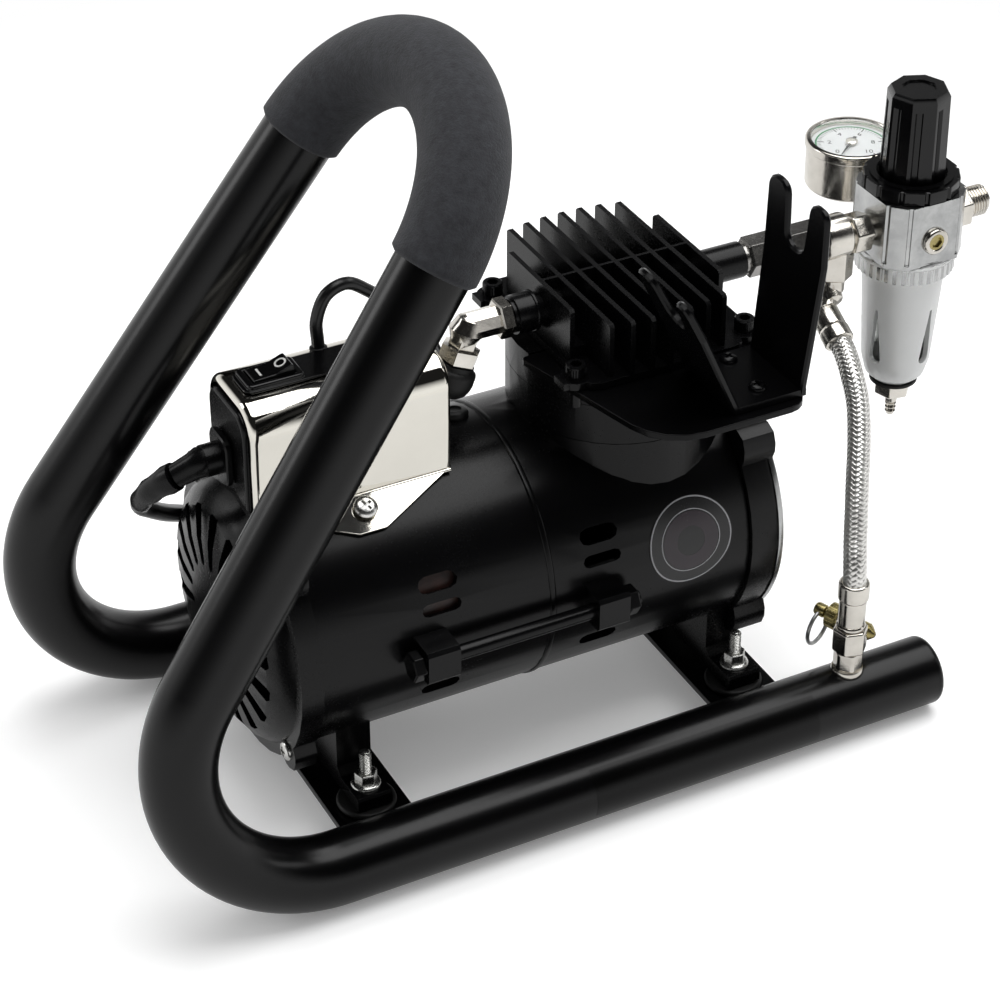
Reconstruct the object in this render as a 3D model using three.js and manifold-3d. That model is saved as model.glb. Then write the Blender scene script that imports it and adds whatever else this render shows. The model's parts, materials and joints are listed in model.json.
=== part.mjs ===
import * as THREE from 'three';
import { mergeVertices } from 'three/addons/utils/BufferGeometryUtils.js';
import Module from 'manifold-3d';

// Portable oil-less air compressor carried on its own bent-tube air tank. Millimetres, +Z up.
// Working frame: x runs along the motor axis towards the regulator and is 0 where the floor runs
// of the tank turn into the lower bends, y = 0 is the plane of symmetry, z = 0 is the floor.

// Gap kept between pieces that touch
const seat = 0.3;

// Tank tube
const tubeR = 15;
const tubeWall = 1.6;
const tubeSpacing = 165.8;        // between the centrelines of the floor runs
const tankEndX = 275.7;           // outer face of the end caps
const lowerBendR = 61.45;         // centreline radius
const legIncline = 54.3;          // degrees above the floor
const legLean = 5.664;            // degrees, each leg leans towards the middle
const legLength = 180.2;
const capRim = 3;                 // visible thickness of an end cap
const spigotR = 11.8;             // of the cap, inside the tube
const gripR = 17.4;               // outside of the foam sleeve
const portR = 4.2;                // holes through the tube wall

// Cross plates, rubber mounts and feet
const plateTop = 16.5;
const plateThickness = 3;
const plateWidth = 32;
const studX = { left: 24.6, right: 196.4 };
const studY = 54.2;
const studR = 2.5;
const studTop = 43;
const mountR = 12.6;
const mountNeckR = 6.2;
const mountHeight = 2.9;          // rubber showing above the plate
const padThickness = 6.5;
const footWidth = 15;

// Motor
const motorZ = 86.6;
const shellR = 58.2;
const shellWall = 3;
const shellLeftX = 6.3;
const seamX = 108.3;
const shellRightX = 198;
const coverEndX = shellRightX + 15;
const coverR = shellR + 2.2;
const bellFlangeX = -3.5;
const earOffset = (shellR + 0.8) / Math.SQRT2;   // screw of a corner ear, sideways and up from the axis
const tieRodR = 3.2;
const tieRodY = shellR + 6.8;
const shaftR = 6;
const journalR = 4;
const bearingR = 11;
const bearingWidth = 7;
const crankX = 166;
const crankThrow = 8;
const crankDiscR = 16;
const statorBore = 31;
const rotorR = statorBore - 0.6;
const statorR = shellR - shellWall - 0.5;
const coreX = [30, 92];           // ends of the stator and rotor stacks

// Cylinder neck and head
const neckR = 45.25;
const neckTop = 172.5;
const sleeveR = 24;
const bracketThickness = 2.8;
const headX = 164.4;
const headFlange = 3;
const finPitch = 8.37;
const finThickness = 2.1;
const finTop = 202.5;
const finRibHalf = 0.6;           // thin rib across the fins
const finHalfLengths = [46.4, 46.2, 45.1, 43.2, 26.5];   // from the middle fin outwards
const headBoltX = 38.2;
const headBoltY = 35.5;
const headBoltR = 4.2;
const portZ = 188;
const portBossR = 7;
const bossLeftX = 116.8;
const bossRightX = 222.7;

// Bracket and hanger
const bracketFrontY = -89;
const hangerSheet = 3;
const hangerRightX = 199.5;
const hangerLeftX = 170.6;
const hangerLean = 63.2;          // degrees, left arm above the plate
const hangerBackY = -47;
const hangerFrontY = -84.5;

// Switch box
const boxX = [-2.8, 81];
const boxHalfWidth = 22;
const boxTop = motorZ + shellR + 45.7;
const boxEdgeR = 13;
const boxSheet = 1.2;
const boxBevel = 3;               // rounding of the upright end edges
const boxEndX = boxX[0] - 1.8;
const rockerX = 14.5;
const glandZ = boxTop - 30.5;

// Regulator, gauge and hose
const regX = 305.5;
const regHalf = 19.6;
const regZ = [173.5, 202.3];
const knobTop = 247;
const teeX = 270;
const gaugeY = 45.5;
const gaugeR = 20;
const gaugeZ = [181, 203.3];
const outletEndX = 343.6;
const hoseR = 4.9;
const bungX = 234.4;
const cordR = 3.7;

const look = {
  blackPaint: { color: 0x141416, roughness: 0.42, metalness: 0 },
  blackCasting: { color: 0x17171a, roughness: 0.5, metalness: 0 },
  foam: { color: 0x232428, roughness: 0.95, metalness: 0 },
  rubber: { color: 0x111111, roughness: 0.85, metalness: 0 },
  blackPlastic: { color: 0x121214, roughness: 0.35, metalness: 0 },
  zinc: { color: 0xc9c9c4, roughness: 0.3, metalness: 1 },
  chrome: { color: 0xe8e6e0, roughness: 0.08, metalness: 1 },
  nickel: { color: 0xd4cfc2, roughness: 0.2, metalness: 1 },
  darkNickel: { color: 0x8d8b86, roughness: 0.25, metalness: 1 },
  dieCast: { color: 0xb4b6b9, roughness: 0.35, metalness: 1 },
  brass: { color: 0xc8a050, roughness: 0.25, metalness: 1 },
  braid: { color: 0xb8b8b4, roughness: 0.4, metalness: 1 },
  steel: { color: 0x9a9a9a, roughness: 0.4, metalness: 1 },
};

const X = new THREE.Vector3(1, 0, 0);
const Y = new THREE.Vector3(0, 1, 0);
const Z = new THREE.Vector3(0, 0, 1);
const rad = THREE.MathUtils.degToRad;
const vec = (x, y, z) => new THREE.Vector3(x, y, z);

const wasm = await Module();
wasm.setup();

// Outlines: lists of 2-D points

const circle = (r, sides, cx = 0, cy = 0) => Array.from({ length: sides }, (_, i) => {
  const a = (i / sides) * 2 * Math.PI;
  return new THREE.Vector2(cx + r * Math.cos(a), cy + r * Math.sin(a));
});

const hexagon = (acrossFlats, cx = 0, cy = 0) => circle(acrossFlats / Math.sqrt(3), 6, cx, cy);

// Polygon whose corners are rounded; radius is one number or one per corner
const rounded = (corners, radius, steps = 2) => corners.flatMap(([x, y], i) => {
  const r = Array.isArray(radius) ? radius[i] : radius;
  const here = new THREE.Vector2(x, y);
  if (!r) return [here];
  const ends = [corners.at(i - 1), corners[(i + 1) % corners.length]]
    .map(([a, b]) => new THREE.Vector2(a, b).sub(here).normalize());
  const half = Math.acos(THREE.MathUtils.clamp(ends[0].dot(ends[1]), -1, 1)) / 2;
  const centre = ends[0].clone().add(ends[1]).normalize().multiplyScalar(r / Math.sin(half)).add(here);
  const [a, b] = ends.map(e => e.clone().multiplyScalar(r / Math.tan(half)).add(here).sub(centre).angle());
  const sweep = ((b - a + 3 * Math.PI) % (2 * Math.PI)) - Math.PI;
  return Array.from({ length: steps + 1 }, (_, k) => {
    const t = a + (sweep * k) / steps;
    return new THREE.Vector2(centre.x + r * Math.cos(t), centre.y + r * Math.sin(t));
  });
});

const rectangle = (w, h, r = 0, cx = 0, cy = 0, steps = 2) => rounded([
  [cx - w / 2, cy - h / 2], [cx + w / 2, cy - h / 2], [cx + w / 2, cy + h / 2], [cx - w / 2, cy + h / 2],
], r, steps);

// Solids

// Outline extruded along u x v, starting at the point `at`; `bevel` rounds both ends
const extruded = (outline, depth, { at = [0, 0, 0], u = X, v = Y, holes = [], bevel = 0, bevelSteps = 1 } = {}) => {
  const shape = new THREE.Shape(outline);
  shape.holes = holes.map(h => new THREE.Path(h));
  const geometry = new THREE.ExtrudeGeometry(shape, {
    depth: depth - 2 * bevel, bevelEnabled: bevel > 0, bevelThickness: bevel, bevelSize: bevel,
    bevelOffset: -bevel, bevelSegments: bevelSteps,
  });
  if (bevel) geometry.translate(0, 0, bevel);
  return geometry.applyMatrix4(new THREE.Matrix4().makeBasis(u, v, u.clone().cross(v)).setPosition(...at));
};

// Profile of [radius, height] pairs turned about the line through `at` along `axis`
const turned = (profile, { at = [0, 0, 0], axis = Z, sides = 24 } = {}) => {
  const geometry = new THREE.LatheGeometry(profile.map(([r, h]) => new THREE.Vector2(r, h)), sides);
  const turn = new THREE.Quaternion().setFromUnitVectors(Y, axis.clone().normalize());
  return geometry.applyQuaternion(turn).translate(...at);
};

const rod = (r, from, to, sides = 16) => {
  const a = vec(...from), b = vec(...to), length = a.distanceTo(b);
  return turned([[0, 0], [r, 0], [r, length], [0, length]], { at: from, axis: b.sub(a), sides });
};

const block = (x, y, z) => new THREE.BoxGeometry(x[1] - x[0], y[1] - y[0], z[1] - z[0])
  .translate((x[0] + x[1]) / 2, (y[0] + y[1]) / 2, (z[0] + z[1]) / 2);

// Path through given stations, one extrusion step between each two
class Route extends THREE.Curve {
  constructor(stations) {
    super();
    this.stations = stations;
  }
  getPointAt(u) {
    const last = this.stations.length - 1, k = Math.min(Math.floor(u * last + 1e-9), last - 1);
    return this.stations[k].clone().lerp(this.stations[k + 1], u * last - k);
  }
  getTangentAt(u) {
    const s = this.stations, k = Math.round(u * (s.length - 1));
    const before = s[k].clone().sub(s[Math.max(k - 1, 0)]).normalize();
    const after = s[Math.min(k + 1, s.length - 1)].clone().sub(s[k]).normalize();
    return before.add(after).normalize();
  }
}

const swept = (outline, stations, holes = []) => {
  const shape = new THREE.Shape(outline);
  shape.holes = holes.map(h => new THREE.Path(h));
  return new THREE.ExtrudeGeometry(shape, { steps: stations.length - 1, extrudePath: new Route(stations) });
};

// Smooth path through a few points, cut into equal steps
const smooth = (points, steps) =>
  new THREE.CatmullRomCurve3(points.map(p => vec(...p)), false, 'centripetal').getSpacedPoints(steps);

const toSolid = geometry => {
  const bare = geometry.clone();
  bare.deleteAttribute('normal');
  bare.deleteAttribute('uv');
  const merged = mergeVertices(bare, 1e-4);
  const p = merged.attributes.position.array, triangles = [];
  let volume = 0;
  for (let i = 0; i < merged.index.count; i += 3) {
    const t = [0, 1, 2].map(k => merged.index.getX(i + k));
    if (new Set(t).size < 3) continue;
    triangles.push(t);
    const [a, b, c] = t.map(k => new THREE.Vector3().fromArray(p, 3 * k));
    volume += a.dot(b.cross(c));
  }
  if (volume < 0) triangles.forEach(t => t.reverse());
  return new wasm.Manifold(new wasm.Mesh({
    numProp: 3, vertProperties: new Float32Array(p), triVerts: new Uint32Array(triangles.flat()),
  }));
};

const fromSolid = solid => {
  const { vertProperties, triVerts } = solid.asOriginal().simplify(0.01).getMesh();
  return new THREE.BufferGeometry()
    .setAttribute('position', new THREE.BufferAttribute(new Float32Array(vertProperties), 3))
    .setIndex(new THREE.BufferAttribute(new Uint32Array(triVerts), 1));
};

const combine = step => (first, ...others) =>
  fromSolid(others.map(toSolid).reduce((sum, next) => sum[step](next), toSolid(first)));
const join = combine('add');
const cut = combine('subtract');
const overlap = combine('intersect');

const mirroredY = geometry => geometry.clone().applyMatrix4(new THREE.Matrix4().makeScale(1, -1, 1));

// The part stands on the floor with its origin below the middle of its length
const originX = (outletEndX - lowerBendR - tubeR) / 2;
const part = new THREE.Group();
part.name = 'air_compressor';
const assembly = (name, x, y, z) => {
  const group = new THREE.Group();
  group.name = name;
  group.position.set(x - originX, y, z);
  part.add(group);
  return group;
};
// Each piece's geometry is centred on the piece, which is then placed in its assembly
let unit;
const add = (name, lookName, geometry) => {
  const faces = fromSolid(toSolid(geometry)).toNonIndexed().translate(-originX, 0, 0);
  faces.computeVertexNormals();
  faces.computeBoundingBox();
  const centre = faces.boundingBox.getCenter(new THREE.Vector3());
  const mesh = new THREE.Mesh(faces.translate(-centre.x, -centre.y, -centre.z),
    new THREE.MeshStandardMaterial({ name: lookName, ...look[lookName] }));
  mesh.name = name;
  mesh.position.copy(centre).sub(unit.position);
  unit.add(mesh);
};

// Tank tube: floor run, lower bend and leg on each side, joined by one arc over the top

unit = assembly('tank_frame', tankEndX / 2, 0, tubeR);

const lean = rad(legLean), incline = rad(legIncline);
const legSide = side => {
  const up = vec(0, -side * Math.sin(lean), Math.cos(lean));
  const centre = vec(0, (side * tubeSpacing) / 2, tubeR).addScaledVector(up, lowerBendR);
  // the first quarter turn reaches the rearmost point, the rest turns up into the leg
  const turns = [...Array.from({ length: 7 }, (_, i) => 15 * i), ...[1, 2, 3].map(i => 90 + ((90 - legIncline) * i) / 3)];
  const bend = turns.map(turn => {
    const a = -Math.PI / 2 - rad(turn);
    return centre.clone().addScaledVector(X, lowerBendR * Math.cos(a)).addScaledVector(up, lowerBendR * Math.sin(a));
  });
  const along = X.clone().multiplyScalar(Math.cos(incline)).addScaledVector(up, Math.sin(incline));
  return { bend, along, top: bend.at(-1).clone().addScaledVector(along, legLength) };
};
const near = legSide(-1), far = legSide(1);
const arcAxis = vec(near.along.x, 0, near.along.z).normalize();
const arcLean = Math.asin(near.along.y);
const arcR = (far.top.y - near.top.y) / 2 / Math.cos(arcLean);
const arcCentre = near.top.clone().lerp(far.top, 0.5).addScaledVector(arcAxis, -arcR * Math.sin(arcLean));
const arcPoint = a => arcCentre.clone()
  .addScaledVector(Y, arcR * Math.sin(a)).addScaledVector(arcAxis, arcR * Math.cos(a));
const topArc = (steps, reach = Math.PI / 2 - arcLean) =>
  Array.from({ length: steps + 1 }, (_, i) => arcPoint(-reach + (2 * reach * i) / steps));

const tubeEndX = tankEndX - capRim - seat;
const floorEnd = side => vec(tubeEndX, (side * tubeSpacing) / 2, tubeR);
const tankStations = [
  floorEnd(-1), ...near.bend, ...topArc(10), ...far.bend.slice().reverse(), floorEnd(1),
];
const bungY = -tubeSpacing / 2;
add('tank_tube', 'blackPaint', cut(
  swept(circle(tubeR, 16), tankStations, [circle(tubeR - tubeWall, 8)]),
  rod(portR, [bungX, bungY, tubeR + 5], [bungX, bungY, 2 * tubeR + 5], 12),
));

for (const [name, side] of [['near', -1], ['far', 1]]) {
  add(`end_cap_${name}`, 'blackPaint', turned([
    [0, -capRim - 7], [spigotR, -capRim - 7], [spigotR, -capRim], [tubeR, -capRim],
    [tubeR, -1.5], [tubeR - 1.5, 0], [0, 0],
  ], { at: [tankEndX, (side * tubeSpacing) / 2, tubeR], axis: X, sides: 20 }));
}

add('foam_grip', 'foam', swept(circle(gripR, 16), topArc(10), [circle(tubeR + 2 * seat, 12)]));

// Cross plates, rubber mounts and zinc mounting bolts

const plateHalfLength = tubeSpacing / 2 - tubeR - seat;
const padBottom = plateTop + seat + mountHeight + seat;
const padTop = padBottom + padThickness;
for (const [place, x] of Object.entries(studX)) {
  add(`cross_plate_${place}`, 'blackPaint', extruded(
    rectangle(plateWidth, 2 * plateHalfLength, 0, x), plateThickness,
    { at: [0, 0, plateTop - plateThickness], holes: [-1, 1].map(s => circle(mountNeckR + seat, 16, x, s * studY)) }));
  for (const [row, y] of [['front', -studY], ['back', studY]]) {
    const below = plateTop - plateThickness - seat;
    add(`rubber_mount_${place}_${row}`, 'rubber', turned([
      [studR + seat, below - 2.6], [9, below - 2.6], [9, below], [mountNeckR, below],
      [mountNeckR, plateTop + seat], [mountR, plateTop + seat],
      [mountR - 1, plateTop + seat + mountHeight],
      [studR + seat, plateTop + seat + mountHeight], [studR + seat, below - 2.6],
    ], { at: [x, y, 0], sides: 14 }));
    const nutZ = padTop + seat;
    add(`mount_bolt_${place}_${row}`, 'zinc', join(
      turned([
        [0, below - 6.4], [5.4, below - 6.4], [5.4, below - 2.9], [studR, below - 2.9], [studR, nutZ],
        [6, nutZ], [5.6, nutZ + 1.3], [studR, nutZ + 1.3], [studR, studTop], [0, studTop],
      ], { at: [x, y, 0], sides: 12 }),
      extruded(hexagon(8, x, y), 5, { at: [0, 0, nutZ + 1] }),
    ));
  }
}

// Motor shell: two cast halves with vents, tie-rod lugs and feet

unit = assembly('motor', seamX, 0, motorZ);

const ringX = (from, to, outer, inner, sides = 40) => extruded(circle(outer, sides), to - from,
  { at: [from, 0, motorZ], u: Y, v: Z, holes: [circle(inner, sides)] });
const drumX = (from, to, r, sides = 40) =>
  extruded(circle(r, sides), to - from, { at: [from, 0, motorZ], u: Y, v: Z });

// Slot with round ends cut radially; phi is the angle above the front of the shell
const vent = (x, phi, length, width) => {
  const a = rad(phi), outward = vec(0, -Math.cos(a), Math.sin(a));
  const start = outward.clone().multiplyScalar(shellR - 2 * shellWall).add(vec(x, 0, motorZ));
  return extruded(rectangle(length, width, width / 2 - 0.01, 0, 0, 2), 4 * shellWall,
    { at: start.toArray(), u: X, v: vec(0, Math.sin(a), Math.cos(a)) });
};
const vents = x => [[27, 7], [16.8, 5.2], [-23.8, 6.4]].flatMap(([phi, width]) => {
  const front = vent(x, phi, 17, width);
  return [front, mirroredY(front)];
});

const lugDepth = [shellR - 3, tieRodY + 6];
const lugs = x => [-1, 1].map(side => {
  const y = lugDepth.map(d => side * d).sort((a, b) => a - b);
  return extruded(rounded([[y[0], motorZ - 7], [y[1], motorZ - 7], [y[1], motorZ + 8], [y[0], motorZ + 8]], 1.5, 1),
    x[1] - x[0], { at: [x[0], 0, 0], u: Y, v: Z });
});
const lugHoles = x => [-1, 1].map(side =>
  rod(tieRodR + seat, [x[0] - 1, side * tieRodY, motorZ], [x[1] + 1, side * tieRodY, motorZ], 12));

// Foot: pad under the stud, front wall up to the shell and a side web running in below it
const foot = (x, side) => {
  const from = x - footWidth / 2, wallY = studY - 11;
  const outline = rounded([
    [studY + 9, padBottom], [studY + 9, padTop], [wallY + 3, padTop], [wallY, padTop + 3],
    [wallY, motorZ - 36], [14, motorZ - shellR + 2], [14, padBottom + 3], [20, padBottom],
  ].map(([y, z]) => [-y, z]), [1, 1, 0, 0, 0, 0, 0, 0], 1);
  const leg = extruded(outline, footWidth, { at: [from, 0, 0], u: Y, v: Z });
  const pocket = extruded([
    [wallY - 3, padBottom + 4], [wallY - 3, motorZ - 30], [17, motorZ - 30], [17, padBottom + 4],
  ].map(([y, z]) => new THREE.Vector2(-y, z)), footWidth, { at: [from + 3, 0, 0], u: Y, v: Z });
  const solid = cut(leg, pocket, rod(studR + seat, [x, -studY, padBottom - 1], [x, -studY, padTop + 2], 12));
  return side < 0 ? solid : mirroredY(solid);
};

const shellBore = (from, to) => drumX(from, to, shellR - shellWall);
const leftLug = [45.5, 59.5], rightLug = [121, 135];
const shellHalf = (from, to, x, lug, extras = []) => cut(
  join(drumX(from, to, shellR), ...lugs(lug), foot(x, -1), foot(x, 1), ...extras),
  shellBore(from - 20, to + 20), ...lugHoles(lug));

add('motor_shell_left', 'blackCasting', cut(
  shellHalf(shellLeftX, seamX - seat / 2, studX.left, leftLug), ...vents(59)));

const neck = join(
  rod(neckR, [crankX, 0, motorZ + 30], [crankX, 0, neckTop], 36),
  overlap(
    rod(neckR, [crankX, 0, neckTop - 5], [crankX, 0, neckTop + seat + bracketThickness], 36),
    block([0, 300], [-8, 100], [0, 300])),
);
const coverRoom = [drumX(shellRightX, coverEndX + 20, coverR + 2 * seat),
  block([shellRightX, coverEndX], [-70, 70], [motorZ - earOffset - 9, motorZ])];
add('motor_shell_right', 'blackCasting', cut(
  shellHalf(seamX + seat / 2, shellRightX, studX.right, rightLug, [
    cut(neck, drumX(0, seamX + seat / 2, shellR + 1))]),
  rod(sleeveR + 2 * seat, [crankX, 0, motorZ + 20], [crankX, 0, neckTop + 20], 24),
  ...[-1, 1].flatMap(sx => [-1, 1].map(sy => rod(studR + seat,
    [crankX + sx * headBoltX, sy * headBoltY, neckTop - 8], [crankX + sx * headBoltX, sy * headBoltY, 200], 10))),
  ...vents(130.3), ...coverRoom,
));

// End bell over the fan: flange with corner ears and a domed grille of radial slots

const ears = (from, depth, reach) => [-1, 1].flatMap(sy => [-1, 1].map(sz => extruded(
  rectangle(reach, reach, 6.5, sy * earOffset, sz * earOffset), depth, { at: [from, 0, motorZ], u: Y, v: Z })));
const grilleSlots = Array.from({ length: 14 }, (_, i) => {
  const a = rad(-72 + 20.4 * i), out = vec(0, -Math.cos(a), Math.sin(a));
  return extruded(rounded([[22, -1.7], [47, -3.9], [47, 3.9], [22, 1.7]], 1.4, 1), 12,
    { at: [-20, 0, motorZ], u: out, v: vec(0, -Math.sin(a), -Math.cos(a)) });
});
add('fan_bell', 'blackCasting', cut(
  join(
    turned([
      [0, -16], [34, -14.2], [46, -12], [52, -8], [55.5, bellFlangeX], [coverR, bellFlangeX],
      [coverR, shellLeftX - seat], [shellR - shellWall, shellLeftX - seat], [shellR - shellWall, 1],
      [44, -9.2], [bearingR + 4, -12.6], [bearingR + 4, -4.2],
      [bearingR + seat, -4.2], [bearingR + seat, -11.5], [0, -11.5],
    ], { at: [0, 0, motorZ], axis: X, sides: 32 }),
    ...ears(bellFlangeX, shellLeftX - seat - bellFlangeX, 16),
  ),
  ...grilleSlots,
));

const coverWall = 3.2;
add('end_cover', 'blackCasting', cut(
  join(
    turned([
      [0, coverEndX], [coverR - 4, coverEndX], [coverR - 1, coverEndX - 1], [coverR, coverEndX - 4],
      [coverR, shellRightX + seat], [shellR - shellWall, shellRightX + seat],
      [shellR - shellWall, coverEndX - coverWall], [bearingR + 4, coverEndX - coverWall],
      [bearingR + 4, coverEndX - 12], [bearingR + seat, coverEndX - 12],
      [bearingR + seat, coverEndX - coverWall], [0, coverEndX - coverWall],
    ], { at: [0, 0, motorZ], axis: X, sides: 40 }),
    ...ears(shellRightX + seat, coverEndX - shellRightX - seat, 17),
  ),
  ringX(shellRightX, coverEndX - coverWall, shellR - shellWall, bearingR + 4, 20),
));

// Tie rods with a hexagon head at one end and a nut at the other
for (const [row, side] of [['front', -1], ['back', 1]]) {
  const at = [0, side * tieRodY, motorZ];
  add(`tie_rod_${row}`, 'blackCasting', join(
    rod(tieRodR, [leftLug[0] - 3, at[1], motorZ], [rightLug[1] + 7, at[1], motorZ], 12),
    extruded(hexagon(11, at[1], motorZ), 5, { at: [leftLug[0] - seat - 5, 0, 0], u: Y, v: Z, bevel: 0.5 }),
    extruded(hexagon(11, at[1], motorZ), 5, { at: [rightLug[1] + seat, 0, 0], u: Y, v: Z, bevel: 0.5 }),
  ));
}

// Working parts inside the shell

const coilIn = statorBore + 5, coilOut = statorR - 4.7;    // the windings' overhang
add('stator', 'steel', turned([
  [statorBore, coreX[0]], [coilIn, coreX[0]], [coilIn, coreX[0] - 10], [coilOut, coreX[0] - 10],
  [coilOut, coreX[0]], [statorR, coreX[0]], [statorR, coreX[1]], [coilOut, coreX[1]],
  [coilOut, coreX[1] + 10], [coilIn, coreX[1] + 10], [coilIn, coreX[1]], [statorBore, coreX[1]],
  [statorBore, coreX[0]],
], { at: [0, 0, motorZ], axis: X, sides: 28 }));

const crankZ = motorZ + crankThrow;
add('rotor_shaft', 'steel',
  turned([
    [0, -10.8], [journalR, -10.8], [journalR, -3.4], [shaftR, -3.4], [shaftR, coreX[0]],
    [rotorR, coreX[0]], [rotorR, coreX[1]], [shaftR, coreX[1]], [shaftR, coverEndX - 11.5], [journalR, coverEndX - 11.5], [journalR, coverEndX - 3.8],
    [0, coverEndX - 3.8],
  ], { at: [0, 0, motorZ], axis: X, sides: 24 }));

const fanX = 4;
const blade = i => {
  const a = rad(i * 40), out = vec(0, Math.cos(a), Math.sin(a));
  const sideways = vec(0, -Math.sin(a), Math.cos(a)).multiplyScalar(0.8).addScaledVector(X, 0.6);
  return extruded(rectangle(33, 14, 0, 28), 1.6,
    { at: vec(fanX + 6, 0, motorZ).toArray(), u: out, v: sideways.normalize() });
};
add('cooling_fan', 'blackPlastic', cut(
  join(rod(14, [fanX, 0, motorZ], [fanX + 12, 0, motorZ], 24), ...Array.from({ length: 9 }, (_, i) => blade(i))),
  rod(shaftR + seat, [fanX - 1, 0, motorZ], [fanX + 13, 0, motorZ], 24)));

for (const [place, x] of [['left', -11.2], ['right', coverEndX - coverWall - 0.6 - bearingWidth]]) {
  add(`bearing_${place}`, 'steel', extruded(circle(bearingR, 24), bearingWidth,
    { at: [x, 0, motorZ], u: Y, v: Z, holes: [circle(journalR + seat, 16)] }));
}

// Connecting rod with its piston at top dead centre, on the eccentric that the shaft runs through
add('connecting_rod', 'dieCast', cut(
  join(
    rod(crankDiscR + 5, [crankX - 5, 0, crankZ], [crankX + 5, 0, crankZ], 20),
    rod(crankDiscR - 3, [crankX - 7, 0, crankZ], [crankX + 7, 0, crankZ], 20),
    block([crankX - 4, crankX + 4], [-7, 7], [crankZ + 18, 150]),
    rod(sleeveR - 2.6, [crankX, 0, 149], [crankX, 0, 156], 24)),
  rod(shaftR + seat, [crankX - 9, 0, motorZ], [crankX + 9, 0, motorZ], 24)));

add('cylinder_sleeve', 'steel', turned([
  [sleeveR - 2, 128], [sleeveR, 128], [sleeveR, neckTop - 0.2], [sleeveR - 2, neckTop - 0.2], [sleeveR - 2, 128],
], { at: [crankX, 0, 0], sides: 24 }));

// Bracket plate clamped between neck and head

unit = assembly('head', headX, 0, neckTop);

const bracketZ = neckTop + seat;
const bracketTop = bracketZ + bracketThickness;
const boltPlaces = [-1, 1].flatMap(sx => [-1, 1].map(sy => [crankX + sx * headBoltX, sy * headBoltY]));
add('bracket_plate', 'blackPaint', extruded(rounded(
  [[117, -9], [137, bracketFrontY], [202.5, bracketFrontY], [202.5, -45], [211, -43], [211, -9],
    [crankX + 26, -9], [crankX + 18, -20], [crankX - 18, -20], [crankX - 26, -9]],
  [2, 24, 9, 1, 2, 1, 3, 3, 3, 3], 4), bracketThickness, {
  at: [0, 0, bracketZ],
  holes: boltPlaces.filter(([, y]) => y < 0).map(([x, y]) => circle(studR + seat, 10, x, y)),
}));

// Finned head: flange with bolt ears, core block, nine upright fins, a cross rib and two port bosses

const headZ = bracketTop + seat;
const flangeTop = headZ + headFlange;
const fin = i => {
  const k = i - 4, half = finHalfLengths[Math.abs(k)], x = headX + k * finPitch;
  const foot0 = flangeTop - 1;
  const outline = rounded([[-half, foot0], [half, foot0], [half, finTop], [-half, finTop]], [0, 0, 1.2, 1.2], 1);
  return extruded(outline, finThickness, { at: [x - finThickness / 2, 0, 0], u: Y, v: Z });
};
const head = join(
  extruded(rounded([[-36, -45], [36, -45], [36, 45], [-36, 45]], 6), headFlange, { at: [headX, 0, headZ] }),
  ...boltPlaces.map(([x, y]) => rod(6.6, [x, y, headZ], [x, y, flangeTop], 16)),
  ...[-1, 1].map(s => block([headX - 44, headX + 44], [s * headBoltY - 4, s * headBoltY + 4].sort((a, b) => a - b),
    [headZ, flangeTop])),
  block([headX - 4 * finPitch, headX + 4 * finPitch], [-24, 24], [flangeTop - 1, 184]),
  block([headX - 4 * finPitch, headX + 4 * finPitch], [-finRibHalf, finRibHalf], [flangeTop - 1, finTop]),
  ...Array.from({ length: 9 }, (_, i) => fin(i)),
  rod(portBossR, [bossLeftX, 0, portZ + 2], [headX - 20, 0, portZ + 2], 20),
  rod(portBossR + 1, [bossLeftX + 1.5, 0, portZ + 2], [bossLeftX + 9.5, 0, portZ + 2], 20),
  rod(portBossR + 0.6, [headX + 20, 0, portZ], [bossRightX, 0, portZ], 20),
);
add('cylinder_head', 'blackCasting', cut(head,
  ...boltPlaces.map(([x, y]) => rod(studR + seat, [x, y, headZ - 1], [x, y, flangeTop + 1], 10))));

for (const [i, [x, y]] of boltPlaces.entries()) {
  const name = `head_bolt_${['left', 'right'][Math.floor(i / 2)]}_${['front', 'back'][i % 2]}`;
  const top = flangeTop + seat + 5.2;
  add(name, 'blackCasting', turned([
    [0, neckTop - 7], [studR, neckTop - 7], [studR, flangeTop + seat], [5, flangeTop + seat],
    [5, flangeTop + seat + 0.8], [headBoltR, flangeTop + seat + 0.8], [headBoltR, top],
    [2.3, top], [2.3, top - 2.6], [0, top - 2.6],
  ], { at: [x, y, 0], sides: 12 }));
}

// Hanger: a foot screwed to the plate, an upright arm and a leaning arm, each ending in two prongs

const hangerZ = bracketTop + seat;
// Arm outline: [across, up]; prongs at the top with a rounded notch between them
const forkOutline = (height, notchDepth, frontFlare) => rounded([
  [hangerFrontY, 0], [hangerBackY, 0], [-52.5, 0.62 * height], [-53.6, height], [-66.5, height],
  [-67.5, height - notchDepth], [-79.5, height - notchDepth], [-82.5, height],
  [hangerFrontY - frontFlare, height], [hangerFrontY - frontFlare, 0.72 * height],
], [0, 0, 6, 5.5, 5.5, 5, 5, 4.6, 4.6, 8], 4);
const leftArmUp = vec(-Math.cos(rad(hangerLean)), 0, Math.sin(rad(hangerLean)));
add('hanger_fork', 'blackPaint', join(
  block([hangerLeftX, hangerRightX + hangerSheet], [hangerFrontY, hangerBackY], [hangerZ, hangerZ + hangerSheet]),
  extruded(forkOutline(84, 24, 9), hangerSheet, { at: [hangerRightX, 0, hangerZ], u: Y, v: Z, bevel: 0.8 }),
  extruded(forkOutline(64.2, 19, 7), hangerSheet,
    { at: [hangerLeftX, 0, hangerZ], u: Y, v: leftArmUp, bevel: 0.8 }),
));

// Switch box on top of the left shell half

unit = assembly('switch_box', (boxX[0] + boxX[1]) / 2, 0, boxTop);

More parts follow.
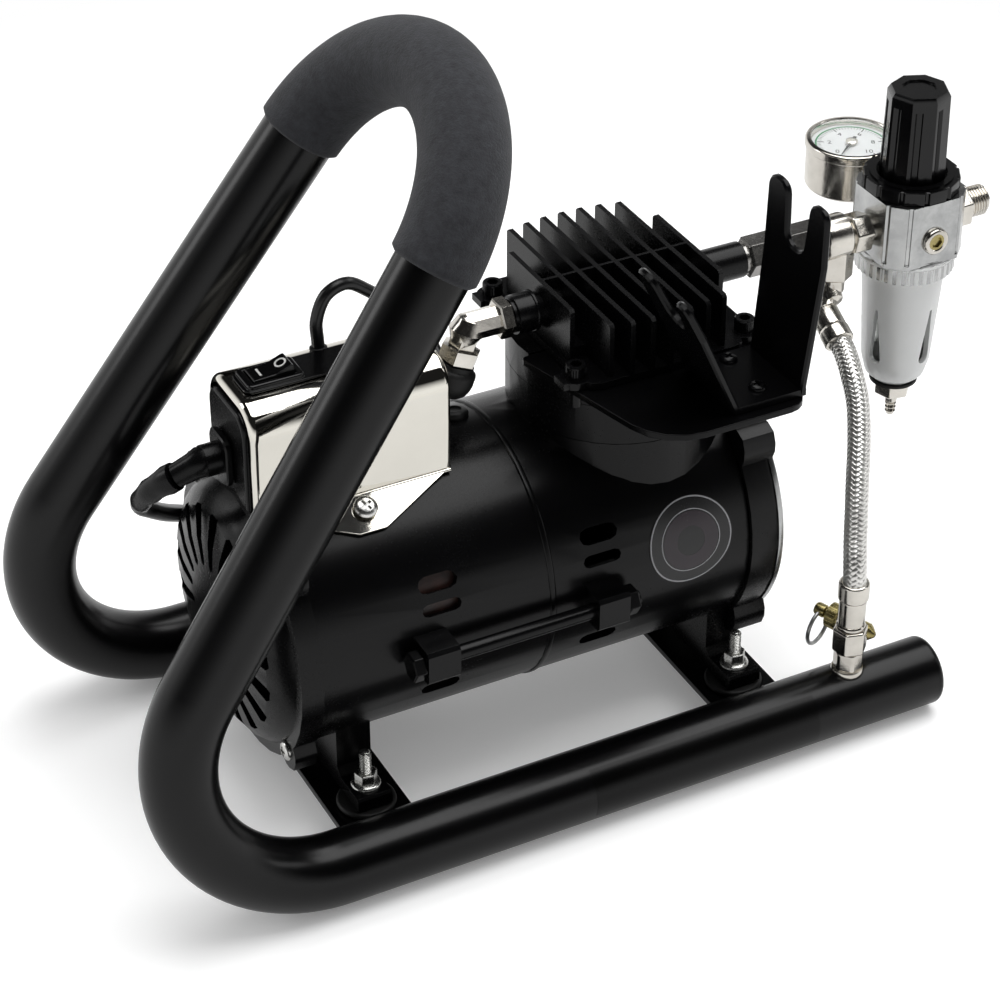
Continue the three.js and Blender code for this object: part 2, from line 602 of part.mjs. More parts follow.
// Half of the box section from the shell up; `inset` is the distance inside the outer skin
const boxSection = (inset, low) => {
  const w = boxHalfWidth - inset, top = boxTop - inset, r = boxEdgeR - inset;
  return rounded([[-w, low], [w, low], [w, top], [-w, top]], [0, 0, r, r], 5);
};
const belowBox = [drumX(-30, 120, shellR + seat), drumX(-30, shellLeftX + seat, coverR + seat)];
// Fixing flange that lies along the shell below the front and back of the cover
const flangeTab = side => {
  const a = Math.acos((boxHalfWidth + 6.4) / (shellR + seat)), out = vec(0, side * Math.cos(a), Math.sin(a));
  const down = vec(0, side * Math.sin(a), -Math.cos(a)).multiplyScalar(side);
  const at = out.clone().multiplyScalar(shellR + seat).add(vec(0, 0, motorZ));
  const outline = [[boxX[0] + 1, -8.4], [boxX[1] - 1, -8.4], [47, 9], [33, 9]]
    .map(([x, d]) => new THREE.Vector2(x, side * d));
  return extruded(outline, boxSheet, { at: at.toArray(), u: X, v: down });
};
const boxShell = cut(
  extruded(boxSection(0, boxTop - 62), boxX[1] - boxX[0],
    { at: [boxX[0], 0, 0], u: Y, v: Z, bevel: boxBevel, bevelSteps: 2 }),
  extruded(boxSection(boxSheet, boxTop - 70), boxX[1] - boxSheet - boxX[0],
    { at: [boxX[0], 0, 0], u: Y, v: Z, bevel: boxBevel, bevelSteps: 2 }),
  ...belowBox);
add('switch_box_cover', 'chrome', cut(
  join(boxShell, flangeTab(-1), flangeTab(1)), belowBox[1],
  block([rockerX - 10, rockerX + 10], [-6, 6], [boxTop - 10, boxTop + 10])));

// Moulded end plug, bulging a little out of the open end of the cover
const plugInset = boxBevel + boxSheet + seat;
add('box_end_piece', 'blackPlastic', cut(
  extruded(boxSection(plugInset, boxTop - 52), 13,
    { at: [boxEndX, 0, 0], u: Y, v: Z, bevel: 1.8, bevelSteps: 3 }),
  extruded(boxSection(plugInset + 3, boxTop - 80), 20, { at: [boxEndX + 4, 0, 0], u: Y, v: Z }),
  ...belowBox,
));

const panelX = [1.2, 79.4], panelTop = boxTop + seat + 1;
add('switch_panel', 'blackPlastic', cut(
  join(
    extruded(rectangle(panelX[1] - panelX[0], 17, 4, (panelX[0] + panelX[1]) / 2, 0, 3), 1,
      { at: [0, 0, boxTop + seat] }),
    extruded(rectangle(23.5, 15, 2, rockerX), 2.8, { at: [0, 0, boxTop + seat], bevel: 0.5 })),
  block([rockerX - 9, rockerX + 9], [-5.2, 5.2], [0, 300])));
const rockerSeat = panelTop + 1;
add('rocker', 'blackPlastic', extruded(rounded(
  [[-6.4, -7], [6.4, -7], [8.6, -0.8], [8.1, 4.8], [0.5, 1.8], [-8.3, 1.4], [-8.6, -0.8]]
    .map(([x, z]) => [rockerX + x, rockerSeat + z]), [0, 0, 1, 1, 2, 0.6, 1], 2), 9.8,
  { at: [0, 4.9, 0], u: X, v: Z }));

// Cord gland: flanged body on the end plug and a sleeve that turns the cord down and backwards
const glandAt = vec(boxEndX - seat, 2, glandZ);
const glandAim = vec(-0.8, 0.33, -0.5).normalize();
const gland = { flange: 3, body: 9.5, sleeve: 12 };
const sleeveAt = glandAt.clone().add(vec(-gland.body, 0, 0));
add('cord_gland', 'blackPlastic', join(
  extruded(rectangle(17, 21, 4, glandAt.y, glandZ), gland.flange,
    { at: [glandAt.x - gland.flange, 0, 0], u: Y, v: Z, bevel: 0.6 }),
  rod(6.6, glandAt.toArray(), sleeveAt.toArray(), 14),
  turned([[0, -6.6], [4.6, -4.7], [6.4, 0], [5.6, 4], [5, gland.sleeve], [0, gland.sleeve]],
    { at: sleeveAt.toArray(), axis: glandAim, sides: 14 }),
));

unit = assembly('air_line', teeX, 0, portZ);

// Discharge side: elbow, pressure switch under its rubber boot and the lead back to the box

const elbowX = 98, elbowZ = portZ + 2;
const elbowDown = vec(-0.36, 0, -0.93).normalize();
add('discharge_elbow', 'nickel', join(
  extruded(hexagon(14.5, 0, elbowZ), 5.5, { at: [bossLeftX - seat - 5.5, 0, 0], u: Y, v: Z, bevel: 0.6 }),
  rod(6, [elbowX, 0, elbowZ], [bossLeftX - 3, 0, elbowZ], 8),
  turned([[0, -7.6], [5, -5.4], [7.2, 0], [5, 5.4], [0, 7.6]],
    { at: [elbowX, 0, elbowZ - 1.5], axis: elbowDown, sides: 10 }),
  turned([[0, 0], [6, 0], [6, 5], [8.4, 5.6], [8.4, 11.4], [7.4, 12], [0, 12]],
    { at: [elbowX, 0, elbowZ - 3], axis: elbowDown, sides: 6 }),
));
add('pressure_switch', 'rubber', turned([
  [0, 12.4], [8.6, 12.4], [9.4, 14], [9.4, 20], [8, 25], [4, 27], [0, 27],
], { at: [elbowX, 0, elbowZ - 3], axis: elbowDown, sides: 20 }));
add('switch_lead', 'rubber', swept(circle(2.6, 8), smooth([
  [39.6, 11, boxTop + 0.9], [39.4, 11, 195], [39.3, 11, 203.4], [43.9, 11, 213.6], [52.3, 11, 216.4],
  [61.8, 11, 210.4], [71, 12, 201.5], [80, 14.5, 193.2], [88, 17.5, 183], [91.6, 16.8, 174], [91.8, 11, 170],
], 20)));

// Air line: hexagon bar, tee, nuts into the regulator

add('manifold_bar', 'darkNickel', join(
  rod(6.4, [bossRightX + seat, 0, portZ], [226, 0, portZ], 16),
  extruded(hexagon(15, 0, portZ), 36, { at: [225, 0, 0], u: Y, v: Z, bevel: 0.8 })));
const regPortZ = portZ - 2, regPortX = regX - regHalf - seat;
add('tee', 'nickel', join(
  turned([[0, -8.7], [8.4, -8.7], [9.4, -7.5], [9.4, 4.5], [7.5, 6], [0, 6]],
    { at: [teeX, 0, portZ - 1], axis: X, sides: 20 }),
  extruded(hexagon(15, 0, regPortZ), 5.2, { at: [regPortX - 6.2, 0, 0], u: Y, v: Z, bevel: 0.8 }),
  rod(6, [teeX, 0, regPortZ], [regPortX, 0, regPortZ], 16),
  extruded(hexagon(14, teeX, 0), 14, { at: [0, 0, 168] }),
));

unit = assembly('regulator', regX, 0, regZ[0]);

// Regulator: octagonal die-cast body with ports, lock ring, knob, bowl guard and drain

const octagon = (half, corner) => [[-half, -half], [half, -half], [half, half], [-half, half]].flatMap(([x, y], i) => {
  const a = [Math.sign(x) * (half - corner), y], b = [x, Math.sign(y) * (half - corner)];
  return (i % 2 ? [a, b] : [b, a]).map(([p, q]) => new THREE.Vector2(regX + p, q));
});
add('regulator_body', 'dieCast', cut(
  join(
    extruded(octagon(regHalf, 7), regZ[1] - regZ[0], { at: [0, 0, regZ[0]] }),
    turned([[0, 165], [20.6, 165], [21.2, 166], [21.2, 172.5], [20, regZ[0] + 1], [0, regZ[0] + 1]],
      { at: [regX, 0, 0], sides: 24 })),
  rod(13, [regX, 0, regZ[1] - 8], [regX, 0, regZ[1] + 1], 24),
  rod(15, [regX, 0, 160], [regX, 0, regZ[0] + 4], 24),
  ...octagon(regHalf, 7).map(({ x, y }) => rod(1.3, [x, y, regZ[0] + 2], [x, y, regZ[1] + 1], 6)),
));
add('lock_ring', 'blackPlastic', turned([
  [14.6, 0], [20.4, 0], [20.4, 5.6], [19.6, 6.6], [17.6, 6.6], [17.2, 5], [14.6, 5], [14.6, 0],
], { at: [regX, 0, regZ[1] + seat], sides: 12 }));
const flute = i => rod(2.1, [
  regX + 13.9 * Math.cos(rad(45 * i + 14)), 13.9 * Math.sin(rad(45 * i + 14)), 205], [
  regX + 13.2 * Math.cos(rad(45 * i + 14)), 13.2 * Math.sin(rad(45 * i + 14)), knobTop - 6], 6);
add('regulator_knob', 'blackPlastic', cut(
  turned([
    [0, regZ[1] + 1.5], [13.9, regZ[1] + 1.5], [13.2, knobTop - 2.2], [11.8, knobTop], [7.4, knobTop],
    [7.2, knobTop - 0.8], [0, knobTop - 0.8],
  ], { at: [regX, 0, 0], sides: 8 }),
  ...Array.from({ length: 8 }, (_, i) => flute(i))));
add('bowl_guard', 'dieCast', cut(
  turned([
    [13.6, 170], [13.6, 164.7], [17.6, 164.7], [14.8, 120], [12.8, 112.5], [9.5, 109.3], [0, 109.3],
    [0, 111.5], [8.5, 111.5], [12.6, 121], [14.4, 160], [12, 163], [12, 170], [13.6, 170],
  ], { at: [regX, 0, 0], sides: 24 }),
  ...[0, 1, 2, 3].map(i => {
    const a = rad(90 * i + 18), out = vec(Math.cos(a), Math.sin(a), 0);
    return extruded(rounded([[-3.2, 121], [3.2, 121], [0.7, 148], [-0.7, 148]], [2.6, 2.6, 0, 0]), 12,
      { at: vec(regX, 0, 0).addScaledVector(out, 8).toArray(), u: vec(-Math.sin(a), Math.cos(a), 0), v: Z });
  })));
add('drain_valve', 'nickel', join(
  turned([[0, 88.7], [1.6, 88.7], [2.4, 91], [1.9, 94], [2.6, 94.2], [2.6, 101], [0, 101]],
    { at: [regX, 0, 0], sides: 12 }),
  extruded(hexagon(14, regX, 0), 7.4, { at: [0, 0, 100.6], bevel: 0.6 }),
  rod(7.4, [regX, 0, 107], [regX, 0, 109], 16)));

add('gauge_case', 'nickel', join(
  turned([
    [0, gaugeZ[0]], [gaugeR - 1.5, gaugeZ[0]], [gaugeR - 0.6, gaugeZ[0] + 1.5], [gaugeR - 0.6, gaugeZ[1] - 4],
    [gaugeR, gaugeZ[1] - 3.4], [gaugeR, gaugeZ[1] - 0.8], [gaugeR - 0.8, gaugeZ[1]], [gaugeR - 2.4, gaugeZ[1]],
    [gaugeR - 2.6, gaugeZ[1] - 4], [0, gaugeZ[1] - 4],
  ], { at: [regX + 0.5, gaugeY, 0], sides: 28 }),
  block([regX - 4.5, regX + 5.5], [regHalf + seat, gaugeY - gaugeR + 2], [184.5, 194.5])));
add('gauge_needle', 'blackPlastic', join(
  rod(2.6, [regX + 0.5, gaugeY, gaugeZ[1] - 4 + seat], [regX + 0.5, gaugeY, gaugeZ[1] - 2.1], 12),
  extruded([[-14, -0.5], [-14, 0.5], [5, 1.4], [5, -1.4]].map(([a, b]) => new THREE.Vector2(a, b)), 0.8,
    { at: [regX + 0.5, gaugeY, gaugeZ[1] - 3.2], u: vec(0.55, 0.83, 0).normalize(), v: vec(-0.83, 0.55, 0).normalize() })));

const outletX = regX + regHalf + seat;
add('outlet_nipple', 'nickel', join(
  rod(6, [outletX, 0, regPortZ], [outletX + 4, 0, regPortZ], 16),
  extruded(hexagon(17, 0, regPortZ), 6.8, { at: [outletX + 1, 0, 0], u: Y, v: Z, bevel: 0.6 }),
  extruded(circle(6.6, 20, 0, regPortZ), outletEndX - outletX - 6,
    { at: [outletX + 6, 0, 0], u: Y, v: Z, bevel: 0.8 })));

// Braided hose from the tee down to the bung of the near tank tube

unit = assembly('hose_line', bungX, -tubeSpacing / 2, 2 * tubeR);

const hoseAim = vec(-0.05, -0.9, -0.43).normalize();      // the way the upper ferrule points
const hoseTop = vec(262, -19, 148.5);
const ferrule = 15;
add('hose_elbow', 'nickel', join(
  rod(5, [teeX, 0, 161.5], [teeX, 0, 168 - seat], 12),
  turned([[0, -6], [4.6, -5], [6.2, 0], [4.6, 5], [0, 6]], { at: [teeX - 2, 0, 160], axis: hoseAim, sides: 12 }),
  rod(4.2, [teeX - 2, 0, 160], hoseTop.clone().addScaledVector(hoseAim, 2 - ferrule).toArray(), 12),
  turned([[0, -ferrule], [6, -ferrule], [6, 0], [0, 0]], { at: hoseTop.toArray(), axis: hoseAim, sides: 14 }),
));
const hosePath = [seat, 6].map(d => hoseTop.clone().addScaledVector(hoseAim, d).toArray());
add('air_hose', 'braid', swept(circle(hoseR, 10), smooth([
  ...hosePath, [259.4, -34, 140.6], [257.3, -42.5, 133], [251.8, -53.5, 121], [245.8, -63, 109.7],
  [241.6, -70, 100], [238, -76, 89.4], [235.1, -81.3, 81], [bungX, bungY, 75], [bungX, bungY, 71.5 + seat],
], 22)));
const valveAt = vec(bungX + 7, bungY + 14.2, 42.5);        // middle of the relief valve
const valveAim = vec(-0.42, 0.905, 0.05).normalize();
add('hose_bung', 'nickel', join(
  rod(2.8, [bungX, bungY, 42], [bungX + 7.3, bungY + 3.4, 42], 10),
  turned([[0, 26], [portR - seat, 26], [portR - seat, 2 * tubeR + seat], [8, 2 * tubeR + seat], [8, 36], [0, 36]],
    { at: [bungX, bungY, 0], sides: 16 }),
  extruded(hexagon(12.5, bungX, bungY), 12, { at: [0, 0, 35], bevel: 0.6 }),
  turned([[0, 46], [4.6, 46], [4.6, 53.5], [6.2, 53.5], [6.2, 71.5], [0, 71.5]],
    { at: [bungX, bungY, 0], sides: 16 }),
));

// Brass relief valve on the side of the bung, opened by pulling its ring

const pullBore = 1.8;
add('safety_valve', 'brass', turned([
  [0, -15], [1, -15], [3.7, -12], [3.7, -6.5], [4.6, -5.5], [4.6, 2], [5.4, 3], [5.4, 7.5], [pullBore + seat, 7.5],
  [pullBore + seat, 1], [0, 1],
], { at: valveAt.toArray(), axis: valveAim, sides: 12 }));
const ringR = 5.6;
const ringAt = valveAt.clone().addScaledVector(valveAim, 11.6).add(vec(0, 0, -ringR));
add('valve_pull', 'brass', join(
  turned([[0, 2], [pullBore, 2], [pullBore, 9], [2.8, 9.4], [2.8, 14], [0, 14.6]],
    { at: valveAt.toArray(), axis: valveAim, sides: 12 }),
  turned(circle(0.7, 6, ringR, 0).concat(new THREE.Vector2(ringR + 0.7, 0)).map(q => [q.x, q.y]),
    { at: ringAt.toArray(), axis: valveAim, sides: 20 }),
));

// Power cord: leaves the gland, turns back behind the motor and runs down to a coil on the floor

const coilAt = [168, 144], coilR = 36, lay = cordR + 0.05;
const coilHalf = 2 * lay, coilHeight = 6 * lay;            // two turns wide, three high
const cordFrom = sleeveAt.clone().addScaledVector(glandAim, gland.sleeve + 2 * seat);
const layR = coilR + coilHalf + seat + cordR;              // the cord runs in beside the coil
const layTo = rad(-103);
const cordLay = [-14, -6, 0].map(d => vec(
  coilAt[0] + layR * Math.cos(layTo) + d * Math.sin(-layTo), coilAt[1] + layR * Math.sin(layTo) + d * Math.cos(layTo),
  cordR + 0.2));
add('power_cord', 'rubber', swept(circle(cordR, 8), smooth([
  cordFrom.toArray(), cordFrom.clone().addScaledVector(glandAim, 5).toArray(),
  [-28.4, 15, 145], [-31.2, 27, 136.5], [-28.6, 39.5, 128.5], [-21, 51, 121], [-8, 61.5, 113], [10, 70, 102],
  [28, 79.5, 85], [43, 89, 63], [57, 97, 41], [74, 103, 20], [95, 105.5, 8], [118, 105, cordR + 0.6],
  ...cordLay.map(p => p.toArray()),
], 48)));
add('cord_coil', 'rubber', turned([
  [coilR - coilHalf, 3], [coilR - coilHalf + 3, 0], [coilR + coilHalf - 2, 0], [coilR + coilHalf, 2],
  [coilR + coilHalf, coilHeight - 1], [coilR + coilHalf - 1, coilHeight], [coilR - coilHalf + 3, coilHeight],
  [coilR - coilHalf, coilHeight - 3], [coilR - coilHalf, 3],
], { at: [...coilAt, 0], sides: 24 }));
// Plug on the floor at the end of the outer turn; built along x, then turned and placed
const plugZ = 11, plugTurn = rad(10);
const plugAim = vec(Math.cos(plugTurn), Math.sin(plugTurn), 0);
const plugAt = vec(coilAt[0], coilAt[1], plugZ).addScaledVector(plugAim, 26.5)
  .addScaledVector(vec(plugAim.y, -plugAim.x, 0), coilR + lay);
add('power_plug', 'rubber', join(
  turned([[0, 0], [4.4, 0], [5.8, 26], [9, 32], [0, 32]], { axis: X, sides: 12 }),
  extruded(rectangle(25, 21, 6), 22, { at: [30, 0, 0], u: Y, v: Z, bevel: 1.2 }),
  ...[-6.35, 6.35].map(y => block([50, 69], [y - 0.75, y + 0.75], [-1.2, 5.2])),
  rod(2.4, [50, 0, -6], [70, 0, -6], 10),
).rotateZ(plugTurn).translate(...plugAt));

export default part;
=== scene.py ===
import json
import math

import bmesh
import bpy
from mathutils import Matrix, Vector

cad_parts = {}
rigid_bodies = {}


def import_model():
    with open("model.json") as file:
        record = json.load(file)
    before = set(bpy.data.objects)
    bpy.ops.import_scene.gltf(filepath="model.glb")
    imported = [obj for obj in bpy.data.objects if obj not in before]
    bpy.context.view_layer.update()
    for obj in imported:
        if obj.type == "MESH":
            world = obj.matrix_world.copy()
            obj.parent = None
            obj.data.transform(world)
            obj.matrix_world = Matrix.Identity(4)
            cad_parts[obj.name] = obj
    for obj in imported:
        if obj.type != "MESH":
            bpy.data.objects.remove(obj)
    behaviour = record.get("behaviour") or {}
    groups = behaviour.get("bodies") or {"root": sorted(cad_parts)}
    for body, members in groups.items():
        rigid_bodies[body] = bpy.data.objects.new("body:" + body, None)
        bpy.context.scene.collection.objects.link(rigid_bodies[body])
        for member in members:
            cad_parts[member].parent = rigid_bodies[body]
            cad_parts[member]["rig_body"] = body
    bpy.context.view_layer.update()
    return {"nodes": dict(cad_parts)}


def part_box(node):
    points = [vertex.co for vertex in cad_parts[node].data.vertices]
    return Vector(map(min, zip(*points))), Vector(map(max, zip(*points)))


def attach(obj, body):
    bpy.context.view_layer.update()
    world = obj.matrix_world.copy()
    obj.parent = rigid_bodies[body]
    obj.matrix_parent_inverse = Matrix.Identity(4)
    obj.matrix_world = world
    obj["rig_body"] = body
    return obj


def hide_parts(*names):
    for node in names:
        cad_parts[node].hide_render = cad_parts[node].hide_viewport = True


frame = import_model()
nodes = frame["nodes"]
scene = bpy.context.scene
print("frame loaded,", len(nodes), "nodes")


def mm(x, y, z):
    return Vector((x, y, z)) * 0.001


def middle(node):
    low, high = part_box(node)
    return (low + high) / 2


# ---- camera

view = {
    "stands": mm(-459.461, -852.626, 764.718),
    "looksAt": mm(-17.055, 6.97, 97.65),
    "lens": 102.015,
    "sensor": 36,
    "clip": (0.05, 20),
}
cameraData = bpy.data.cameras.new("studioCamera")
cameraData.lens = view["lens"]
cameraData.sensor_width = view["sensor"]
cameraData.clip_start, cameraData.clip_end = view["clip"]
studioCamera = bpy.data.objects.new("studioCamera", cameraData)
scene.collection.objects.link(studioCamera)
studioCamera.location = view["stands"]
studioCamera.rotation_euler = (view["looksAt"] - view["stands"]).to_track_quat("-Z", "Y").to_euler()
scene.camera = studioCamera


# ---- finishes; each goes from its dark to its light tone in soft clouds

def blankFinish(name):
    material = bpy.data.materials.new(name)
    material.use_nodes = True
    tree = material.node_tree
    return material, tree, tree.nodes["Principled BSDF"]


def addNode(tree, kind, **settings):
    node = tree.nodes.new(kind)
    for key, value in settings.items():
        if key in node.inputs:
            node.inputs[key].default_value = value
        else:
            setattr(node, key, value)
    return node


def noiseOf(tree, scale, detail=4, rough=0.55, stretch=(1, 1, 1)):
    place = addNode(tree, "ShaderNodeTexCoord")
    turn = addNode(tree, "ShaderNodeMapping")
    turn.inputs["Scale"].default_value = stretch
    noise = addNode(tree, "ShaderNodeTexNoise", Scale=scale, Detail=detail, Roughness=rough)
    tree.links.new(place.outputs["Object"], turn.inputs["Vector"])
    tree.links.new(turn.outputs["Vector"], noise.inputs["Vector"])
    return noise


def spread(tree, source, low, high, fromLow=0.3, fromHigh=0.7):
    node = addNode(tree, "ShaderNodeMapRange")
    for key, value in (("From Min", fromLow), ("From Max", fromHigh), ("To Min", low),
                       ("To Max", high)):
        node.inputs[key].default_value = value
    tree.links.new(source, node.inputs["Value"])
    return node.outputs["Result"]


def tinted(tree, source, dark, light, fromLow=0.3, fromHigh=0.7):
    ramp = addNode(tree, "ShaderNodeValToRGB")
    ramp.color_ramp.elements[0].position = fromLow
    ramp.color_ramp.elements[1].position = fromHigh
    ramp.color_ramp.elements[0].color = (*dark, 1)
    ramp.color_ramp.elements[1].color = (*light, 1)
    tree.links.new(source, ramp.inputs["Fac"])
    return ramp.outputs["Color"]


def raised(tree, source, depth, strength=1.0, under=None):
    bump = addNode(tree, "ShaderNodeBump")
    bump.inputs["Distance"].default_value = depth
    bump.inputs["Strength"].default_value = strength
    tree.links.new(source, bump.inputs["Height"])
    if under is not None:
        tree.links.new(under, bump.inputs["Normal"])
    return bump.outputs["Normal"]


def finish(name, dark, light, rough, metal=0.0, cloud=18, grain=900, depth=0.00004, wave=None,
           coat=0.0, specular=0.5, stretch=(1, 1, 1)):
    material, tree, shader = blankFinish(name)
    shader.inputs["Metallic"].default_value = metal
    shader.inputs["Specular IOR Level"].default_value = specular
    shader.inputs["Coat Weight"].default_value = coat
    shader.inputs["Coat Roughness"].default_value = 0.12
    clouds = noiseOf(tree, cloud, 5, 0.6)
    fine = noiseOf(tree, grain, 3, 0.5, stretch)
    tree.links.new(tinted(tree, clouds.outputs["Fac"], dark, light), shader.inputs["Base Color"])
    mixed = addNode(tree, "ShaderNodeMix", data_type="FLOAT")
    mixed.inputs["Factor"].default_value = 0.4
    tree.links.new(clouds.outputs["Fac"], mixed.inputs["A"])
    tree.links.new(fine.outputs["Fac"], mixed.inputs["B"])
    tree.links.new(spread(tree, mixed.outputs["Result"], *rough), shader.inputs["Roughness"])
    normal = raised(tree, fine.outputs["Fac"], depth)
    if wave:
        slow = noiseOf(tree, wave[0], 2, 0.4)
        normal = raised(tree, slow.outputs["Fac"], wave[1], 1.0, normal)
    tree.links.new(normal, shader.inputs["Normal"])
    return material


finishes = {
    "powderCoat": finish("powderCoat", (0.0012, 0.0012, 0.0014), (0.002, 0.002, 0.0023),
                         (0.22, 0.27), cloud=9, grain=420, depth=0.000003, specular=0.29),
    "castingPaint": finish("castingPaint", (0.0018, 0.0018, 0.0021), (0.003, 0.003, 0.0034),
                           (0.22, 0.30), cloud=12, grain=900, depth=0.000008, specular=0.23),
    "bracketPaint": finish("bracketPaint", (0.0018, 0.0018, 0.002), (0.0026, 0.0026, 0.003),
                           (0.20, 0.27), cloud=12, grain=700, depth=0.000008, specular=0.18),
    "mountRubber": finish("mountRubber", (0.003, 0.003, 0.003), (0.006, 0.006, 0.006), (0.42, 0.58),
                          grain=1400, depth=0.00003, specular=0.35),
    "cordJacket": finish("cordJacket", (0.0028, 0.0028, 0.003), (0.005, 0.005, 0.0055),
                         (0.26, 0.36), grain=1200, depth=0.00002, specular=0.45),
    "mouldedPlastic": finish("mouldedPlastic", (0.0022, 0.0022, 0.0024), (0.004, 0.004, 0.0044),
                             (0.22, 0.32), grain=1300, depth=0.00002, specular=0.19),
    "glossPlastic": finish("glossPlastic", (0.0018, 0.0018, 0.002), (0.003, 0.003, 0.0034),
                           (0.15, 0.22), grain=900, depth=0.00001, specular=0.36),
    "zincPlate": finish("zincPlate", (0.58, 0.58, 0.55), (0.78, 0.78, 0.76), (0.16, 0.34), metal=1,
                        grain=1100, depth=0.00003),
    "chromePlate": finish("chromePlate", (0.75, 0.725, 0.66), (0.80, 0.775, 0.705), (0.03, 0.07),
                          metal=1, cloud=30, grain=500, depth=0.00001),
    "nickelPlate": finish("nickelPlate", (0.58, 0.55, 0.50), (0.80, 0.77, 0.71), (0.12, 0.24),
                          metal=1, cloud=60, grain=700, depth=0.00003, wave=(150, 0.00010)),
    "darkNickel": finish("darkNickel", (0.28, 0.27, 0.26), (0.42, 0.41, 0.39), (0.18, 0.32),
                         metal=1, cloud=60, grain=800, depth=0.00003),
    "castSilver": finish("castSilver", (0.36, 0.365, 0.365), (0.58, 0.585, 0.58), (0.16, 0.28),
                         metal=1, cloud=90, grain=1600, depth=0.00002, wave=(160, 0.00005)),
    "guardSilver": finish("guardSilver", (0.80, 0.81, 0.805), (0.86, 0.87, 0.865), (0.3, 0.4),
                          metal=0.2, grain=1600, depth=0.00001, wave=(220, 0.00003), coat=0.3),
    "bareBrass": finish("bareBrass", (0.55, 0.40, 0.16), (0.72, 0.56, 0.27), (0.16, 0.34), metal=1,
                        cloud=90, grain=900, depth=0.00004),
    "agedBrass": finish("agedBrass", (0.30, 0.25, 0.10), (0.48, 0.41, 0.19), (0.2, 0.36), metal=1,
                        cloud=140, grain=900, depth=0.00003),
    "machinedSteel": finish("machinedSteel", (0.36, 0.36, 0.36), (0.52, 0.52, 0.52), (0.28, 0.44),
                            metal=1, grain=600, depth=0.00003, stretch=(8, 1, 1)),
    "windings": finish("windings", (0.012, 0.006, 0.005), (0.050, 0.018, 0.013), (0.28, 0.42),
                       cloud=120, grain=700, depth=0.00008, stretch=(1, 6, 6)),
    "dialFace": finish("dialFace", (0.78, 0.785, 0.81), (0.84, 0.845, 0.86), (0.42, 0.52),
                       grain=1200, depth=0.00001),
    "dialInk": finish("dialInk", (0.012, 0.012, 0.012), (0.03, 0.03, 0.03), (0.45, 0.6), grain=1200,
                      depth=0.00001),
    "dialTint": finish("dialTint", (0.02, 0.20, 0.07), (0.03, 0.28, 0.10), (0.4, 0.5), grain=1200,
                       depth=0.00001),
    "labelFilm": finish("labelFilm", (0.0012, 0.0012, 0.0012), (0.002, 0.002, 0.002), (0.22, 0.28),
                        grain=1500, depth=0.000005, specular=0.22),
    "badgeInk": finish("badgeInk", (0.004, 0.004, 0.0045), (0.007, 0.007, 0.008), (0.2, 0.3),
                       grain=1300, depth=0.00001),
    "badgeTrim": finish("badgeTrim", (0.34, 0.34, 0.36), (0.46, 0.46, 0.48), (0.25, 0.35),
                        grain=1300, depth=0.00001),
    "badgePlum": finish("badgePlum", (0.022, 0.014, 0.020), (0.032, 0.020, 0.029), (0.22, 0.3),
                        grain=1300, depth=0.00001),
    "whiteMark": finish("whiteMark", (0.62, 0.62, 0.60), (0.74, 0.74, 0.72), (0.4, 0.5), grain=1200,
                        depth=0.00001),
    "braidWire": finish("braidWire", (0.72, 0.71, 0.68), (0.92, 0.91, 0.88), (0.24, 0.38), metal=1,
                        cloud=120, grain=1500, depth=0.00002),
    "hoseCore": finish("hoseCore", (0.020, 0.020, 0.020), (0.035, 0.035, 0.035), (0.6, 0.8),
                       grain=1300, depth=0.00005),
}


def foamFinish():
    material, tree, shader = blankFinish("foamSkin")
    shader.inputs["Sheen Weight"].default_value = 0.12
    shader.inputs["Sheen Roughness"].default_value = 0.6
    shader.inputs["Specular IOR Level"].default_value = 0.25
    place = addNode(tree, "ShaderNodeTexCoord")
    pores = addNode(tree, "ShaderNodeTexVoronoi", Scale=820.0)
    tree.links.new(place.outputs["Object"], pores.inputs["Vector"])
    cloud = noiseOf(tree, 240, 6, 0.7)
    fine = noiseOf(tree, 1500, 4, 0.6)
    tree.links.new(tinted(tree, cloud.outputs["Fac"], (0.016, 0.0167, 0.0198),
                          (0.046, 0.0478, 0.0545)), shader.inputs["Base Color"])
    tree.links.new(spread(tree, cloud.outputs["Fac"], 0.78, 0.95), shader.inputs["Roughness"])
    normal = raised(tree, pores.outputs["Distance"], 0.00014, 0.6)
    normal = raised(tree, fine.outputs["Fac"], 0.00025, 0.8, normal)
    tree.links.new(raised(tree, cloud.outputs["Fac"], 0.00022, 0.5, normal),
                   shader.inputs["Normal"])
    return material


def clearFinish(name, colour, rough):
    material, tree, shader = blankFinish(name)
    shader.inputs["Transmission Weight"].default_value = 1.0
    shader.inputs["IOR"].default_value = 1.46
    clouds = noiseOf(tree, 60, 3)
    tree.links.new(tinted(tree, clouds.outputs["Fac"], colour, colour), shader.inputs["Base Color"])
    tree.links.new(spread(tree, clouds.outputs["Fac"], *rough), shader.inputs["Roughness"])
    return material


finishes["foamSkin"] = foamFinish()
finishes["gaugeGlass"] = clearFinish("gaugeGlass", (0.97, 0.98, 0.97), (0.0, 0.03))
finishes["bowlPlastic"] = clearFinish("bowlPlastic", (0.92, 0.93, 0.92), (0.08, 0.2))
print("finishes mixed:", len(finishes))


# ---- making pieces; profiles are in millimetres, but bevels, paths and their radii in metres

weld = 2e-6               # points closer than this are one


